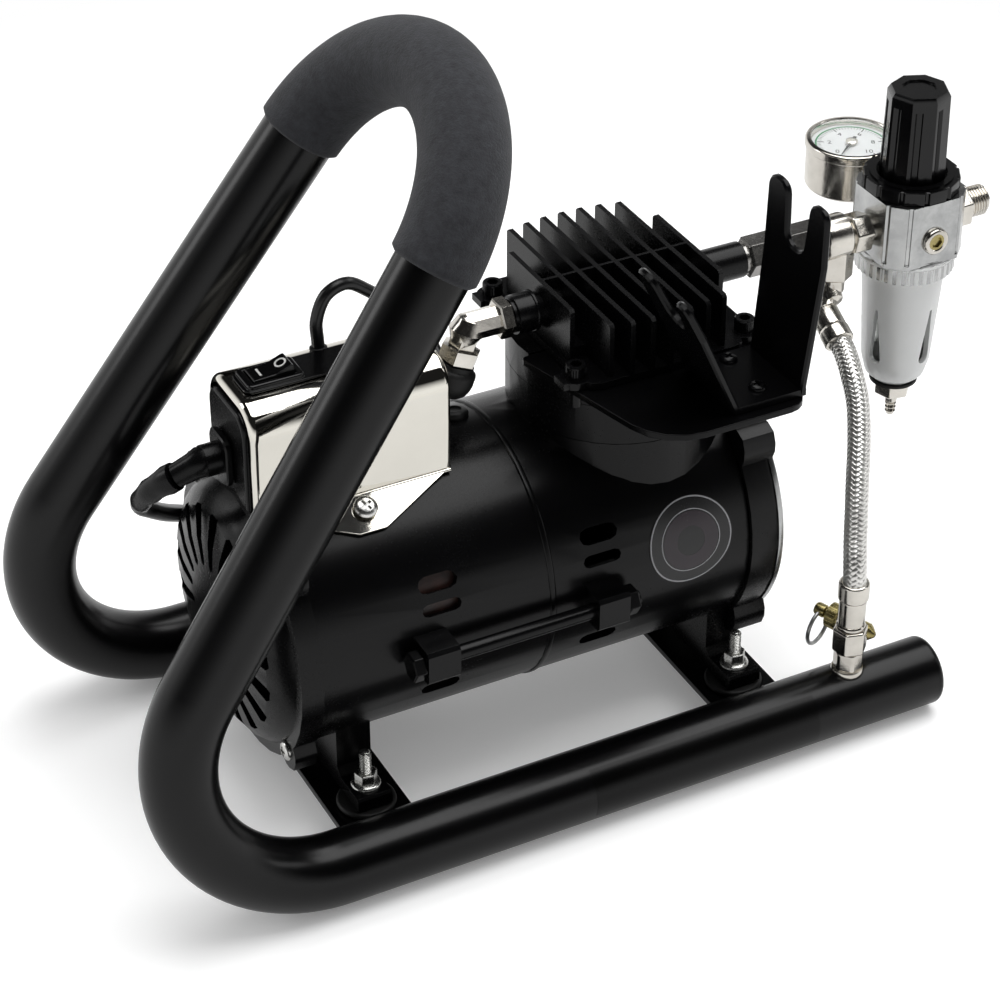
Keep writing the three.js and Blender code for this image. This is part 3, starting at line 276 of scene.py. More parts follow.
def asPiece(name, bm, look, body="compressor", stands=(), smooth=50, weighted=True):
    bmesh.ops.remove_doubles(bm, verts=bm.verts, dist=weld)
    bmesh.ops.recalc_face_normals(bm, faces=bm.faces)
    for face in bm.faces:
        face.smooth = True
    for edge in bm.edges:
        edge.smooth = len(edge.link_faces) == 2 and edge.calc_face_angle(0) < math.radians(smooth)
    mesh = bpy.data.meshes.new(name)
    bm.to_mesh(mesh)
    bm.free()
    piece = bpy.data.objects.new(name, mesh)
    scene.collection.objects.link(piece)
    mesh.materials.append(finishes[look])
    if weighted:
        modifier = piece.modifiers.new("flatFaces", "WEIGHTED_NORMAL")
        modifier.keep_sharp = True
        modifier.weight = 60
    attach(piece, body)
    if stands:
        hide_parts(*stands)
    return piece


def aim(at, axis, spinning=0.0):
    turn = Vector(axis).normalized().to_track_quat("Z", "Y").to_matrix().to_4x4()
    return Matrix.Translation(at) @ turn @ Matrix.Rotation(spinning, 4, "Z")


def turned(profile, at, axis=(0, 0, 1), steps=64, into=None):
    # the profile's (radius, height) pairs turned round the axis through at
    bm = bmesh.new()
    points = [bm.verts.new((r * 0.001, 0, h * 0.001)) for r, h in profile]
    for a, b in zip(points, points[1:]):
        bm.edges.new((a, b))
    bmesh.ops.spin(bm, geom=bm.verts[:] + bm.edges[:], cent=(0, 0, 0), axis=(0, 0, 1),
                   angle=2 * math.pi, steps=steps, use_merge=True)
    bmesh.ops.remove_doubles(bm, verts=bm.verts, dist=weld)
    bmesh.ops.recalc_face_normals(bm, faces=bm.faces)
    bmesh.ops.transform(bm, matrix=aim(at, axis), verts=bm.verts)
    return joined(into, bm)


def joined(into, bm):
    if into is None:
        return bm
    spare = bpy.data.meshes.new("spare")
    bm.to_mesh(spare)
    bm.free()
    into.from_mesh(spare)
    bpy.data.meshes.remove(spare)
    return into


def bevelEdges(bm, width, segments=2, sharper=35):
    edges = [e for e in bm.edges if len(e.link_faces) == 2
             and e.calc_face_angle(0) > math.radians(sharper)]
    bmesh.ops.bevel(bm, geom=edges, offset=width, offset_type="OFFSET", segments=segments,
                    profile=0.5, affect="EDGES", clamp_overlap=True, material=-1)


def prism(sides, across, low, high, at, axis=(0, 0, 1), bevel=0.0005, turn=0.0, into=None,
          segments=2):
    # a bar with flat sides, sized across its flats
    bm = bmesh.new()
    radius = across * 0.0005 / math.cos(math.pi / sides)
    made = bmesh.ops.create_circle(bm, cap_ends=True, radius=radius, segments=sides)
    grown = bmesh.ops.extrude_face_region(bm, geom=bm.faces[:])
    top = [g for g in grown["geom"] if isinstance(g, bmesh.types.BMVert)]
    bmesh.ops.translate(bm, verts=made["verts"], vec=(0, 0, low * 0.001))
    bmesh.ops.translate(bm, verts=top, vec=(0, 0, high * 0.001))
    bmesh.ops.recalc_face_normals(bm, faces=bm.faces)
    if bevel:
        bevelEdges(bm, bevel, segments)
    bmesh.ops.transform(bm, matrix=aim(at, axis, turn), verts=bm.verts)
    return joined(into, bm)


def slab(x, y, z, bevel=0.0004, into=None, segments=2, place=Matrix.Identity(4)):
    bm = bmesh.new()
    size = Vector((x[1] - x[0], y[1] - y[0], z[1] - z[0])) * 0.001
    mid = Vector((x[0] + x[1], y[0] + y[1], z[0] + z[1])) * 0.0005
    bmesh.ops.create_cube(bm, size=1, matrix=Matrix.Translation(mid) @ Matrix.Diagonal((*size, 1)))
    if bevel:
        bevelEdges(bm, bevel, segments)
    bmesh.ops.transform(bm, matrix=place, verts=bm.verts)
    return joined(into, bm)


def thread(radius, pitch, low, high, at, axis=(0, 0, 1), steps=28, depth=None, into=None):
    bm = bmesh.new()
    turns = (high - low) / pitch
    depth = depth or pitch * 0.55
    flank = [bm.verts.new(mm(radius - depth, 0, low - pitch / 2)),
             bm.verts.new(mm(radius, 0, low - pitch / 8)),
             bm.verts.new(mm(radius, 0, low + pitch / 8)),
             bm.verts.new(mm(radius - depth, 0, low + pitch / 2))]
    for a, b in zip(flank, flank[1:]):
        bm.edges.new((a, b))
    whole = max(2, round(turns * steps))
    bmesh.ops.spin(bm, geom=bm.verts[:] + bm.edges[:], cent=(0, 0, 0), axis=(0, 0, 1),
                   dvec=(0, 0, pitch * 0.001 / steps), angle=2 * math.pi * whole / steps,
                   steps=whole)
    bmesh.ops.remove_doubles(bm, verts=bm.verts, dist=weld)
    bmesh.ops.holes_fill(bm, edges=bm.edges, sides=0)
    bmesh.ops.recalc_face_normals(bm, faces=bm.faces)
    bmesh.ops.transform(bm, matrix=aim(at, axis), verts=bm.verts)
    return joined(into, bm)


def smoothPath(points, count):
    # centripetal spline through the points, resampled to equal steps
    pts = [Vector(p) for p in points]
    ends = [2 * pts[0] - pts[1], *pts, 2 * pts[-1] - pts[-2]]
    dense = []
    for p0, p1, p2, p3 in zip(ends, ends[1:], ends[2:], ends[3:]):
        t = [0.0]
        for a, b in ((p0, p1), (p1, p2), (p2, p3)):
            t.append(t[-1] + max((b - a).length, 1e-9) ** 0.5)
        for k in range(24):
            s = t[1] + (t[2] - t[1]) * k / 24
            a1 = p0.lerp(p1, s / t[1])
            a2 = p1.lerp(p2, (s - t[1]) / (t[2] - t[1]))
            a3 = p2.lerp(p3, (s - t[2]) / (t[3] - t[2]))
            b1 = a1.lerp(a2, s / t[2])
            b2 = a2.lerp(a3, (s - t[1]) / (t[3] - t[1]))
            dense.append(b1.lerp(b2, (s - t[1]) / (t[2] - t[1])))
    dense.append(pts[-1])
    run = [0.0]
    for a, b in zip(dense, dense[1:]):
        run.append(run[-1] + (b - a).length)
    even, k = [], 0
    for i in range(count):
        want = run[-1] * i / (count - 1)
        while k < len(run) - 2 and run[k + 1] < want:
            k += 1
        even.append(dense[k].lerp(dense[k + 1], (want - run[k]) / max(run[k + 1] - run[k], 1e-12)))
    return even


def headings(path):
    ahead = [(b - a).normalized() for a, b in zip(path, path[1:])]
    return [ahead[0], *[(a + b).normalized() for a, b in zip(ahead, ahead[1:])], ahead[-1]]


def swept(path, radius, sides=20, radii=None):
    # a round bar along the path, of one radius or of one for each point
    bm = bmesh.new()
    aims = headings(path)
    ring = bmesh.ops.create_circle(bm, cap_ends=True, radius=1.0, segments=sides)["verts"]
    scales = radii or [radius] * len(path)
    bmesh.ops.scale(bm, vec=(scales[0],) * 3, verts=ring)
    bmesh.ops.transform(bm, matrix=aim(path[0], aims[0]), verts=ring)
    edges = bm.edges[:]
    for i in range(1, len(path)):
        grown = bmesh.ops.extrude_edge_only(bm, edges=edges)["geom"]
        ring = [g for g in grown if isinstance(g, bmesh.types.BMVert)]
        inRing = set(ring)
        edges = [g for g in grown if isinstance(g, bmesh.types.BMEdge) and set(g.verts) <= inRing]
        step = (Matrix.Translation(path[i])
                @ aims[i - 1].rotation_difference(aims[i]).to_matrix().to_4x4()
                @ Matrix.Diagonal((scales[i] / scales[i - 1],) * 3 + (1,))
                @ Matrix.Translation(-path[i - 1]))
        bmesh.ops.transform(bm, matrix=step, verts=ring)
    bmesh.ops.edgeloop_fill(bm, edges=edges)
    bmesh.ops.recalc_face_normals(bm, faces=bm.faces)
    return bm


def refined(node, look, bevel, segments=2, name=None):
    # a welded copy of the node with its edges broken
    bm = bmesh.new()
    bm.from_mesh(nodes[node].data)
    bmesh.ops.remove_doubles(bm, verts=bm.verts, dist=1e-5)
    bmesh.ops.dissolve_limit(bm, angle_limit=math.radians(1.2), verts=bm.verts, edges=bm.edges,
                             use_dissolve_boundaries=False)
    bevelEdges(bm, bevel, segments)
    return asPiece(name or node + "Fine", bm, look, nodes[node]["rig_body"], [node])


def fluted(teeth, outer, inner, low, high, at, axis=(0, 0, 1), bevel=0.0002, duty=0.6, into=None):
    # a disc whose rim is cut into flat-topped ribs
    bm = bmesh.new()
    rim = bmesh.ops.create_circle(bm, cap_ends=True, radius=outer * 0.001,
                                  segments=teeth * 4)["verts"]
    flank = (1 - duty) * 0.22
    stops = ((-duty / 2 - flank, inner), (-duty / 2, outer), (duty / 2, outer),
             (duty / 2 + flank, inner))
    for k, vert in enumerate(rim):
        part, r = stops[k % 4]
        angle = 2 * math.pi * (k // 4 + part) / teeth
        vert.co = mm(r * math.cos(angle), r * math.sin(angle), 0)
    grown = bmesh.ops.extrude_face_region(bm, geom=bm.faces[:])
    top = [g for g in grown["geom"] if isinstance(g, bmesh.types.BMVert)]
    bmesh.ops.translate(bm, verts=rim, vec=(0, 0, low * 0.001))
    bmesh.ops.translate(bm, verts=top, vec=(0, 0, high * 0.001))
    bmesh.ops.recalc_face_normals(bm, faces=bm.faces)
    if bevel:
        bevelEdges(bm, bevel, 1)
    bmesh.ops.transform(bm, matrix=aim(at, axis), verts=bm.verts)
    return joined(into, bm)


def flatShape(corners, thick, place, bevel=0.0003, into=None):
    # a plate with the given outline, grown upwards from its own plane
    bm = bmesh.new()
    face = bm.faces.new([bm.verts.new((x * 0.001, y * 0.001, 0)) for x, y in corners])
    grown = bmesh.ops.extrude_face_region(bm, geom=[face])
    top = [g for g in grown["geom"] if isinstance(g, bmesh.types.BMVert)]
    bmesh.ops.translate(bm, verts=top, vec=(0, 0, thick * 0.001))
    bmesh.ops.recalc_face_normals(bm, faces=bm.faces)
    if bevel:
        bevelEdges(bm, bevel)
    bmesh.ops.transform(bm, matrix=place, verts=bm.verts)
    return joined(into, bm)


def ringMark(outer, inner, thick, place, steps=48, into=None):
    bm = bmesh.new()
    corners = [bm.verts.new((r * 0.001, 0, z * 0.001)) for r, z in
               ((inner, 0), (outer, 0), (outer, thick), (inner, thick))]
    for a, b in zip(corners, corners[1:] + corners[:1]):
        bm.edges.new((a, b))
    bmesh.ops.spin(bm, geom=bm.verts[:] + bm.edges[:], cent=(0, 0, 0), axis=(0, 0, 1),
                   angle=2 * math.pi, steps=steps, use_merge=True)
    bmesh.ops.recalc_face_normals(bm, faces=bm.faces)
    bmesh.ops.transform(bm, matrix=place, verts=bm.verts)
    return joined(into, bm)


def figure(text, size, place, into=None):
    # a raised figure from the built-in letter shapes
    letters = bpy.data.curves.new("figure", "FONT")
    letters.body = text
    letters.size = size * 0.001
    letters.align_x = "CENTER"
    letters.align_y = "CENTER"
    letters.extrude = 0.00003
    letters.resolution_u = 3
    holder = bpy.data.objects.new("figure", letters)
    flat = bpy.data.meshes.new_from_object(holder)
    bm = bmesh.new()
    bm.from_mesh(flat)
    bpy.data.objects.remove(holder)
    bpy.data.curves.remove(letters)
    bpy.data.meshes.remove(flat)
    bmesh.ops.transform(bm, matrix=place, verts=bm.verts)
    return joined(into, bm)


def carve(piece, cutters):
    # cuts the cutters out of the piece at once, before its normals are weighted
    spare = bpy.data.meshes.new("cutter")
    bmesh.ops.recalc_face_normals(cutters, faces=cutters.faces)
    cutters.to_mesh(spare)
    cutters.free()
    tool = bpy.data.objects.new("cutter", spare)
    scene.collection.objects.link(tool)
    modifier = piece.modifiers.new("recess", "BOOLEAN")
    modifier.operation = "DIFFERENCE"
    modifier.solver = "EXACT"
    modifier.use_self = True
    modifier.object = tool
    piece.modifiers.move(len(piece.modifiers) - 1, 0)
    bpy.context.view_layer.update()
    cutPiece = piece.evaluated_get(bpy.context.evaluated_depsgraph_get())
    cutMesh = bpy.data.meshes.new_from_object(cutPiece)
    piece.modifiers.remove(modifier)
    old = piece.data
    piece.data = cutMesh
    bpy.data.meshes.remove(old)
    bpy.data.objects.remove(tool)
    bm = bmesh.new()
    bm.from_mesh(cutMesh)
    for edge in bm.edges:
        edge.smooth = len(edge.link_faces) == 2 and edge.calc_face_angle(0) < math.radians(40)
    bm.to_mesh(cutMesh)
    bm.free()
    return piece


def crossScrew(name, at, axis, radius, look="zincPlate", turn=0.4, rise=1.9):
    # domed head with a cross recess
    bm = turned([(0, 0), (radius, 0), (radius, rise * 0.35), (radius * 0.86, rise * 0.75),
                 (radius * 0.6, rise), (0, rise * 1.08)], at, axis, 40)
    head = asPiece(name, bm, look)
    cutters = bmesh.new()
    for k in (0, 1):
        slab((-radius * 0.52, radius * 0.52), (-radius * 0.13, radius * 0.13),
             (rise * 0.45, rise * 2), 0, into=cutters, place=aim(at, axis, turn + k * math.pi / 2))
    return carve(head, cutters)


# ---- power cord

cord = {
    "radius": 0.0037,         # metres
    "points": [
        (-158.06, 6.16, 153.7), (-162.8, 10.2, 149.0), (-166.9, 17.4, 140.6), (-166.0, 26.6, 130.2),
        (-158.4, 37, 119.4), (-148, 50, 106.5), (-136, 64, 93.5), (-122, 76.5, 80),
        (-107, 85.5, 66), (-92, 93, 50), (-77, 99, 34), (-60, 103.4, 19), (-40, 105.3, 8.5),
        (-18, 105, 3.9)],
    # radius and height of each turn of the coil, from the one that the cord meets first
    "turns": [
        (39.75, 3.8), (32.25, 3.8), (32.25, 11.3), (32.25, 18.8), (39.75, 18.8), (39.75, 11.3)],
    "leavesAt": -80,          # degrees round the coil
    "toPlug": 0.0262,         # metres
    "blendFrom": 0.66,        # share of a turn after which it moves over to the next one
}
coilLow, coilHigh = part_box("cord_coil")
coilMid = (coilLow + coilHigh) / 2


def coiledPath():
    turns = cord["turns"]
    path = smoothPath([mm(*p) for p in cord["points"]], 72)
    start = path[-1]
    away = (coilMid - start).xy
    outer = turns[0][0] * 0.001
    # the cord meets the first turn along its tangent
    heading = math.atan2(away.y, away.x) - math.asin(outer / away.length)
    reach = math.sqrt(away.length ** 2 - outer ** 2)
    touch = Vector((start.x + reach * math.cos(heading), start.y + reach * math.sin(heading), 0))
    first = math.atan2(touch.y - coilMid.y, touch.x - coilMid.x)
    floor = turns[0][1] * 0.001
    for k in range(1, 16):
        flat = start.lerp(touch, k / 16)
        flat.z = floor + (start.z - floor) * (1 - k / 16) ** 2
        path.append(flat)
    over = (math.radians(cord["leavesAt"]) - first) % (2 * math.pi)
    total = 2 * math.pi * (len(turns) - 1) + over
    count = round(total * 7)
    for k in range(count + 1):
        angle = total * k / count
        which = min(int(angle / (2 * math.pi)), len(turns) - 1)
        here, there = turns[which], turns[min(which + 1, len(turns) - 1)]
        since = angle / (2 * math.pi) - which - cord["blendFrom"]
        blend = max(0.0, since / (1 - cord["blendFrom"])) if which < len(turns) - 1 else 0.0
        blend = blend * blend * (3 - 2 * blend)
        r, z = ((a + (b - a) * blend) * 0.001 for a, b in zip(here, there))
        path.append(Vector((coilMid.x + r * math.cos(first + angle),
                            coilMid.y + r * math.sin(first + angle), z)))
    out = math.radians(cord["leavesAt"] + 90)
    last = path[-1]
    for k in range(1, 7):
        s = k / 6
        path.append(last + Vector((math.cos(out), math.sin(out), 0)) * cord["toPlug"] * s
                    + Vector((0, 0, -0.0003 * s * s)))
    return path


cordPath = coiledPath()
powerCord = asPiece("powerCord", swept(cordPath, cord["radius"], 18), "cordJacket",
                    stands=["power_cord", "cord_coil"], weighted=False)
powerPlug = refined("power_plug", "cordJacket", 0.0006, name="powerPlug")
pins = {"reach": (51.6, 69.05), "apart": 6.35, "thick": 1.6, "tall": (-1.25, 5.25), "earth": 2.45}
plugAt, plugTurn = mm(67.424, 109.456, 11), math.radians(cord["leavesAt"] + 90)
plugPlace = Matrix.Translation(plugAt) @ Matrix.Rotation(plugTurn, 4, "Z")
pinBm = bmesh.new()
for side in (-1, 1):
    y = side * pins["apart"]
    slab(pins["reach"], (y - pins["thick"] / 2, y + pins["thick"] / 2), pins["tall"], 0.0003, pinBm,
         place=plugPlace)
turned([(0, pins["reach"][0]), (pins["earth"], pins["reach"][0]), (pins["earth"], 68.4),
        (1.7, 70.02), (0, 70.05)], plugPlace @ mm(0, 0, -6), plugPlace.to_3x3() @ Vector((1, 0, 0)),
       28, into=pinBm)
plugPins = asPiece("plugPins", pinBm, "nickelPlate")

# tapered sleeve that keeps the cord from kinking at the gland
relief = {"reach": 10, "wide": 5.6, "rings": 3, "ring": 0.45, "gap": 0.2}
reliefPath = cordPath[:relief["reach"]]
reliefRadii = []
for k in range(relief["reach"]):
    s = k / (relief["reach"] - 1)
    ring = relief["ring"] * 0.001 if k % relief["rings"] == 1 and s < 0.95 else 0.0
    taper = (relief["wide"] * 0.001 - cord["radius"]) * (1 - s) ** 1.4
    reliefRadii.append(cord["radius"] + relief["gap"] * 0.001 + taper + ring)
asPiece("cordRelief", swept(reliefPath, None, 28, reliefRadii), "mouldedPlastic",
        smooth=60, weighted=False)


# ---- tank tube, one bent tube with its closed ends

tank = {
    "radius": 15.0, "skin": 14.9, "bend": 61.45,
    "incline": 54.3, "lean": 5.664,      # degrees
    "leg": 180.2, "endPiece": 7.2, "sides": 56,
}
tubeLow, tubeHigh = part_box("tank_tube")
endLow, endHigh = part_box("end_cap_near")
bendX = tubeLow.x + (tank["bend"] + tank["radius"]) * 0.001
sideY = tubeHigh.y - tank["radius"] * 0.001


def legFrame(side):
    # where one leg's lower bend and straight run lie
    lean = math.radians(tank["lean"])
    up = Vector((0, -side * math.sin(lean), math.cos(lean)))
    foot = Vector((bendX, side * sideY, tank["radius"] * 0.001))
    centre = foot + up * tank["bend"] * 0.001
    incline = math.radians(tank["incline"])
    along = Vector((math.cos(incline), 0, 0)) + up * math.sin(incline)
    rear = Vector((-math.sin(incline), 0, 0)) + up * math.cos(incline)
    legStart = centre + rear * tank["bend"] * 0.001
    return {"foot": foot, "centre": centre, "up": up, "along": along, "start": legStart,
            "top": legStart + along * tank["leg"] * 0.001}


nearLeg, farLeg = legFrame(-1), legFrame(1)
archAxis = Vector((nearLeg["along"].x, 0, nearLeg["along"].z)).normalized()
archLean = math.asin(nearLeg["along"].y)
archR = (farLeg["top"].y - nearLeg["top"].y) / 2 / math.cos(archLean)
archMid = (nearLeg["top"] + farLeg["top"]) / 2 - archAxis * archR * math.sin(archLean)
archTurn = math.pi - 2 * archLean
archNormal = archAxis.cross(Vector((0, 1, 0)))


def grow(bm, edges, shift):
    # carries a ring of edges on in a straight line
    grown = bmesh.ops.extrude_edge_only(bm, edges=edges)["geom"]
    ring = [g for g in grown if isinstance(g, bmesh.types.BMVert)]
    bmesh.ops.translate(bm, verts=ring, vec=shift)
    inRing = set(ring)
    return [g for g in grown if isinstance(g, bmesh.types.BMEdge) and set(g.verts) <= inRing]


def swing(bm, edges, centre, axis, angle, steps):
    # carries a ring of edges round a bend
    verts = list({v for e in edges for v in e.verts})
    spun = bmesh.ops.spin(bm, geom=verts + edges, cent=centre, axis=axis, angle=angle,
                          steps=steps)["geom_last"]
    return [g for g in spun if isinstance(g, bmesh.types.BMEdge)]


def tankTube():
    bm = bmesh.new()
    bmesh.ops.create_circle(bm, cap_ends=False, radius=tank["skin"] * 0.001, segments=tank["sides"])
    start = Vector((endLow.x + tank["endPiece"] * 0.001, -sideY, tank["radius"] * 0.001))
    bmesh.ops.transform(bm, matrix=aim(start, (-1, 0, 0)), verts=bm.verts)
    edges = bm.edges[:]
    for _ in range(6):
        edges = grow(bm, edges, (nearLeg["foot"] - start) / 6)
    turn = math.pi - math.radians(tank["incline"])
    nearAxis = nearLeg["up"].cross(Vector((1, 0, 0)))
    edges = swing(bm, edges, nearLeg["centre"], nearAxis, turn, 36)
    for _ in range(4):
        edges = grow(bm, edges, (nearLeg["top"] - nearLeg["start"]) / 4)
    edges = swing(bm, edges, archMid, archNormal, archTurn, 56)
    for _ in range(4):
        edges = grow(bm, edges, (farLeg["start"] - farLeg["top"]) / 4)
    farAxis = farLeg["up"].cross(Vector((1, 0, 0)))
    edges = swing(bm, edges, farLeg["centre"], farAxis, -turn, 36)
    for _ in range(6):
        edges = grow(bm, edges, Vector((start.x - farLeg["foot"].x, 0, 0)) / 6)
    bmesh.ops.remove_doubles(bm, verts=bm.verts, dist=1e-6)
    bmesh.ops.holes_fill(bm, edges=[e for e in bm.edges if e.is_boundary], sides=0)
    return bm


tube = asPiece("tankTubeFine", tankTube(), "powderCoat", stands=["tank_tube"])
tubeStop = (endLow.x - endHigh.x) * 1000 + tank["endPiece"]
for side, place in ((-1, "near"), (1, "far")):
    r = tank["skin"]
    asPiece("tankEnd" + place.capitalize(),
            turned(
                [(0, tubeStop - 3), (r - 0.5, tubeStop - 3), (r - 0.5, tubeStop + 0.02),
                 (r, tubeStop + 0.04), (r, -2), (r - 0.15, -1.4), (r - 0.55, -0.7), (r - 1.3, -0.2),
                 (r - 2.2, 0), (0, 0)], Vector((endHigh.x, side * sideY, tank["radius"] * 0.001)),
                (1, 0, 0), 56), "powderCoat", stands=["end_cap_" + place], smooth=33)
print("tank tube bent")

foam = {"radius": 17.15, "sides": 48, "steps": 110, "edge": 2.2}


def foamSleeve():
    steps = foam["steps"]
    path, radii = [], []
    for k in range(steps + 1):
        s = k / steps
        a = -archTurn / 2 + archTurn * s
        path.append(archMid + Vector((0, 1, 0)) * archR * math.sin(a)
                    + archAxis * archR * math.cos(a))
        fromEnd = min(s, 1 - s) * archTurn * archR * 1000
        dip = max(0.0, 1 - fromEnd / foam["edge"])
        radii.append((foam["radius"]
                      - foam["edge"] * 0.8 * (1 - math.sqrt(max(0.0, 1 - dip * dip)))) * 0.001)
    return swept(path, None, foam["sides"], radii)


foamPiece = asPiece("foamSleeve", foamSleeve(), "foamSkin", stands=["foam_grip"], smooth=70,
                    weighted=False)

# bare film where such a tank carries its name
film = {"from": -26.5, "to": 79, "low": -22, "high": 62, "proud": 0.09, "thick": 0.08, "steps": 26}


def tubeFilm():
    bm = bmesh.new()
    r = (tank["skin"] + film["proud"]) * 0.001
    low = math.radians(film["low"])
    y, z = -sideY - r * math.cos(low), tank["radius"] * 0.001 + r * math.sin(low)
    ends = [bm.verts.new((film["from"] * 0.001, y, z)), bm.verts.new((film["to"] * 0.001, y, z))]
    bm.edges.new(ends)
    bmesh.ops.spin(bm, geom=bm.verts[:] + bm.edges[:], cent=(0, -sideY, tank["radius"] * 0.001),
                   axis=(1, 0, 0), angle=-math.radians(film["high"] - film["low"]),
                   steps=film["steps"])
    bmesh.ops.recalc_face_normals(bm, faces=bm.faces)
    if sum(f.normal.y for f in bm.faces) > 0:
        bmesh.ops.reverse_faces(bm, faces=bm.faces)
    bmesh.ops.solidify(bm, geom=bm.faces, thickness=film["thick"] * 0.001)
    return bm


asPiece("tubeFilm", tubeFilm(), "labelFilm", weighted=False)


# ---- cross plates, rubber mounts and studs

stud = {"core": 2.1, "crest": 2.5, "pitch": 0.8, "nutFlats": 8.4, "washer": 6.2}
footTop = 26.5            # height of the motor's feet
for place in ("left", "right"):
    refined("cross_plate_" + place, "powderCoat", 0.0005)
    for row in ("front", "back"):
        node = "rubber_mount_%s_%s" % (place, row)
        low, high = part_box(node)
        mid = Vector(((low.x + high.x) / 2, (low.y + high.y) / 2, 0))
        top, bottom = high.z * 1000, low.z * 1000
        wide = (high.x - low.x) * 500
        asPiece(node + "Fine",
                turned(
                    [(3, bottom), (8.6, bottom), (9, bottom + 0.4), (9, bottom + 2.2),
                     (8.4, bottom + 2.6), (6.2, bottom + 2.9), (6.2, top - 3.2),
                     (wide - 1.2, top - 2.9), (wide - 0.3, top - 2.4), (wide, top - 1.5),
                     (wide - 0.3, top - 0.6), (wide - 1.2, top), (3, top), (3, bottom)], mid,
                    steps=48), "mountRubber", stands=[node])
        bolt = "mount_bolt_%s_%s" % (place, row)
        low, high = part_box(bolt)
        top, bottom = high.z * 1000, low.z * 1000
        core = stud["core"]
        bm = turned([(0, bottom), (4.9, bottom), (5.4, bottom + 0.5), (5.4, bottom + 3),
                     (5.0, bottom + 3.4), (core, bottom + 3.5), (core, top - 0.5),
                     (core - 0.5, top), (0, top)], mid, steps=32)
        thread(stud["crest"], stud["pitch"], footTop + 5.4, top - 0.5, mid, into=bm)
        w = stud["washer"]
        turned([(2.6, footTop), (w - 0.1, footTop), (w, footTop + 0.4), (w - 0.4, footTop + 1.2),
                (w - 1.6, footTop + 1.7), (2.6, footTop + 1.7), (2.6, footTop)], mid, steps=40,
               into=bm)
        prism(6, stud["nutFlats"], footTop + 1.4, footTop + 6.4, mid, bevel=0.0006,
              turn=0.35 if row == "front" else 0.1, into=bm)
        asPiece(bolt + "Fine", bm, "zincPlate", stands=[bolt])
print("feet set")


# ---- motor

shaft = middle("fan_bell")
motor = {
    "shell": 58.2, "rim": 60.4, "ears": 41.7, "bellScrewsX": -137.1, "screw": 4.2,
    "seams": (144.3, 161.6), "neckX": 32.425, "neck": 45.25,
}

refined("motor_shell_left", "castingPaint", 0.0005)
shellRight = refined("motor_shell_right", "castingPaint", 0.0005)
grooves = bmesh.new()
for level in motor["seams"]:
    r = motor["neck"]
    turned([(r - 0.45, level), (r + 0.6, level - 0.45), (r + 0.6, level + 0.45), (r - 0.45, level)],
           mm(motor["neckX"], 0, 0), steps=72, into=grooves)
carve(shellRight, grooves)
refined("fan_bell", "castingPaint", 0.0004)
refined("end_cover", "castingPaint", 0.0007, segments=3)
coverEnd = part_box("end_cover")[1].x
rimR = motor["rim"]
asPiece("coverRim",
        turned([(rimR - 3.4, -0.5), (rimR - 0.6, -0.5), (rimR - 0.6, -2), (rimR, -2),
                (rimR + 0.12, -1.85), (rimR + 0.12, -0.1), (rimR - 0.2, 0.25), (rimR - 3.4, 0.25),
                (rimR - 3.4, -0.5)], Vector((coverEnd, 0, shaft.z)), (1, 0, 0), 96), "castSilver")
# rolled lip where the two halves of the shell meet
lipX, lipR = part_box("motor_shell_left")[1].x, motor["shell"]
asPiece("shellLip",
        turned([(lipR - 0.6, -2.4), (lipR + 0.1, -2.4), (lipR + 0.45, -2.1), (lipR + 0.55, -1.6),
                (lipR + 0.55, -0.6), (lipR + 0.4, -0.15), (lipR + 0.05, 0.05), (lipR - 0.6, 0.05),
                (lipR - 0.6, -2.4)], Vector((lipX, 0, shaft.z)), (1, 0, 0), 96), "castingPaint",
        smooth=40)
for row in ("front", "back"):
    refined("tie_rod_" + row, "castingPaint", 0.0006, segments=3)
refined("cooling_fan", "mouldedPlastic", 0.0003)
refined("rotor_shaft", "machinedSteel", 0.0004)
refined("stator", "windings", 0.0005)
for node in ("bearing_left", "bearing_right", "cylinder_sleeve"):
    refined(node, "machinedSteel", 0.0003)
refined("connecting_rod", "castSilver", 0.0004)

for k, (sy, sz) in enumerate(((-1, -1), (-1, 1), (1, -1), (1, 1))):
    ear = motor["ears"] * 0.001
    at = Vector((motor["bellScrewsX"] * 0.001, sy * ear, shaft.z + sz * ear))
    crossScrew("bellScrew%d" % (k + 1), at, (-1, 0, 0), motor["screw"], turn=0.3 + k)
    at = Vector((coverEnd - 0.0001, at.y, at.z))
    crossScrew("coverScrew%d" % (k + 1), at, (1, 0, 0), motor["screw"], turn=0.9 + k)

# plain dark disc with thin rings on the side of the shell
badge = {
    "x": 37.1, "turn": 13.0, "radius": 19.2, "proud": 0.18, "thick": 0.12, "ringsProud": 0.05,
    "rings": ((18.9, 18.3, "badgeTrim"), (13.6, 13.2, "badgeTrim"), (12.6, 6.4, "badgePlum")),
}


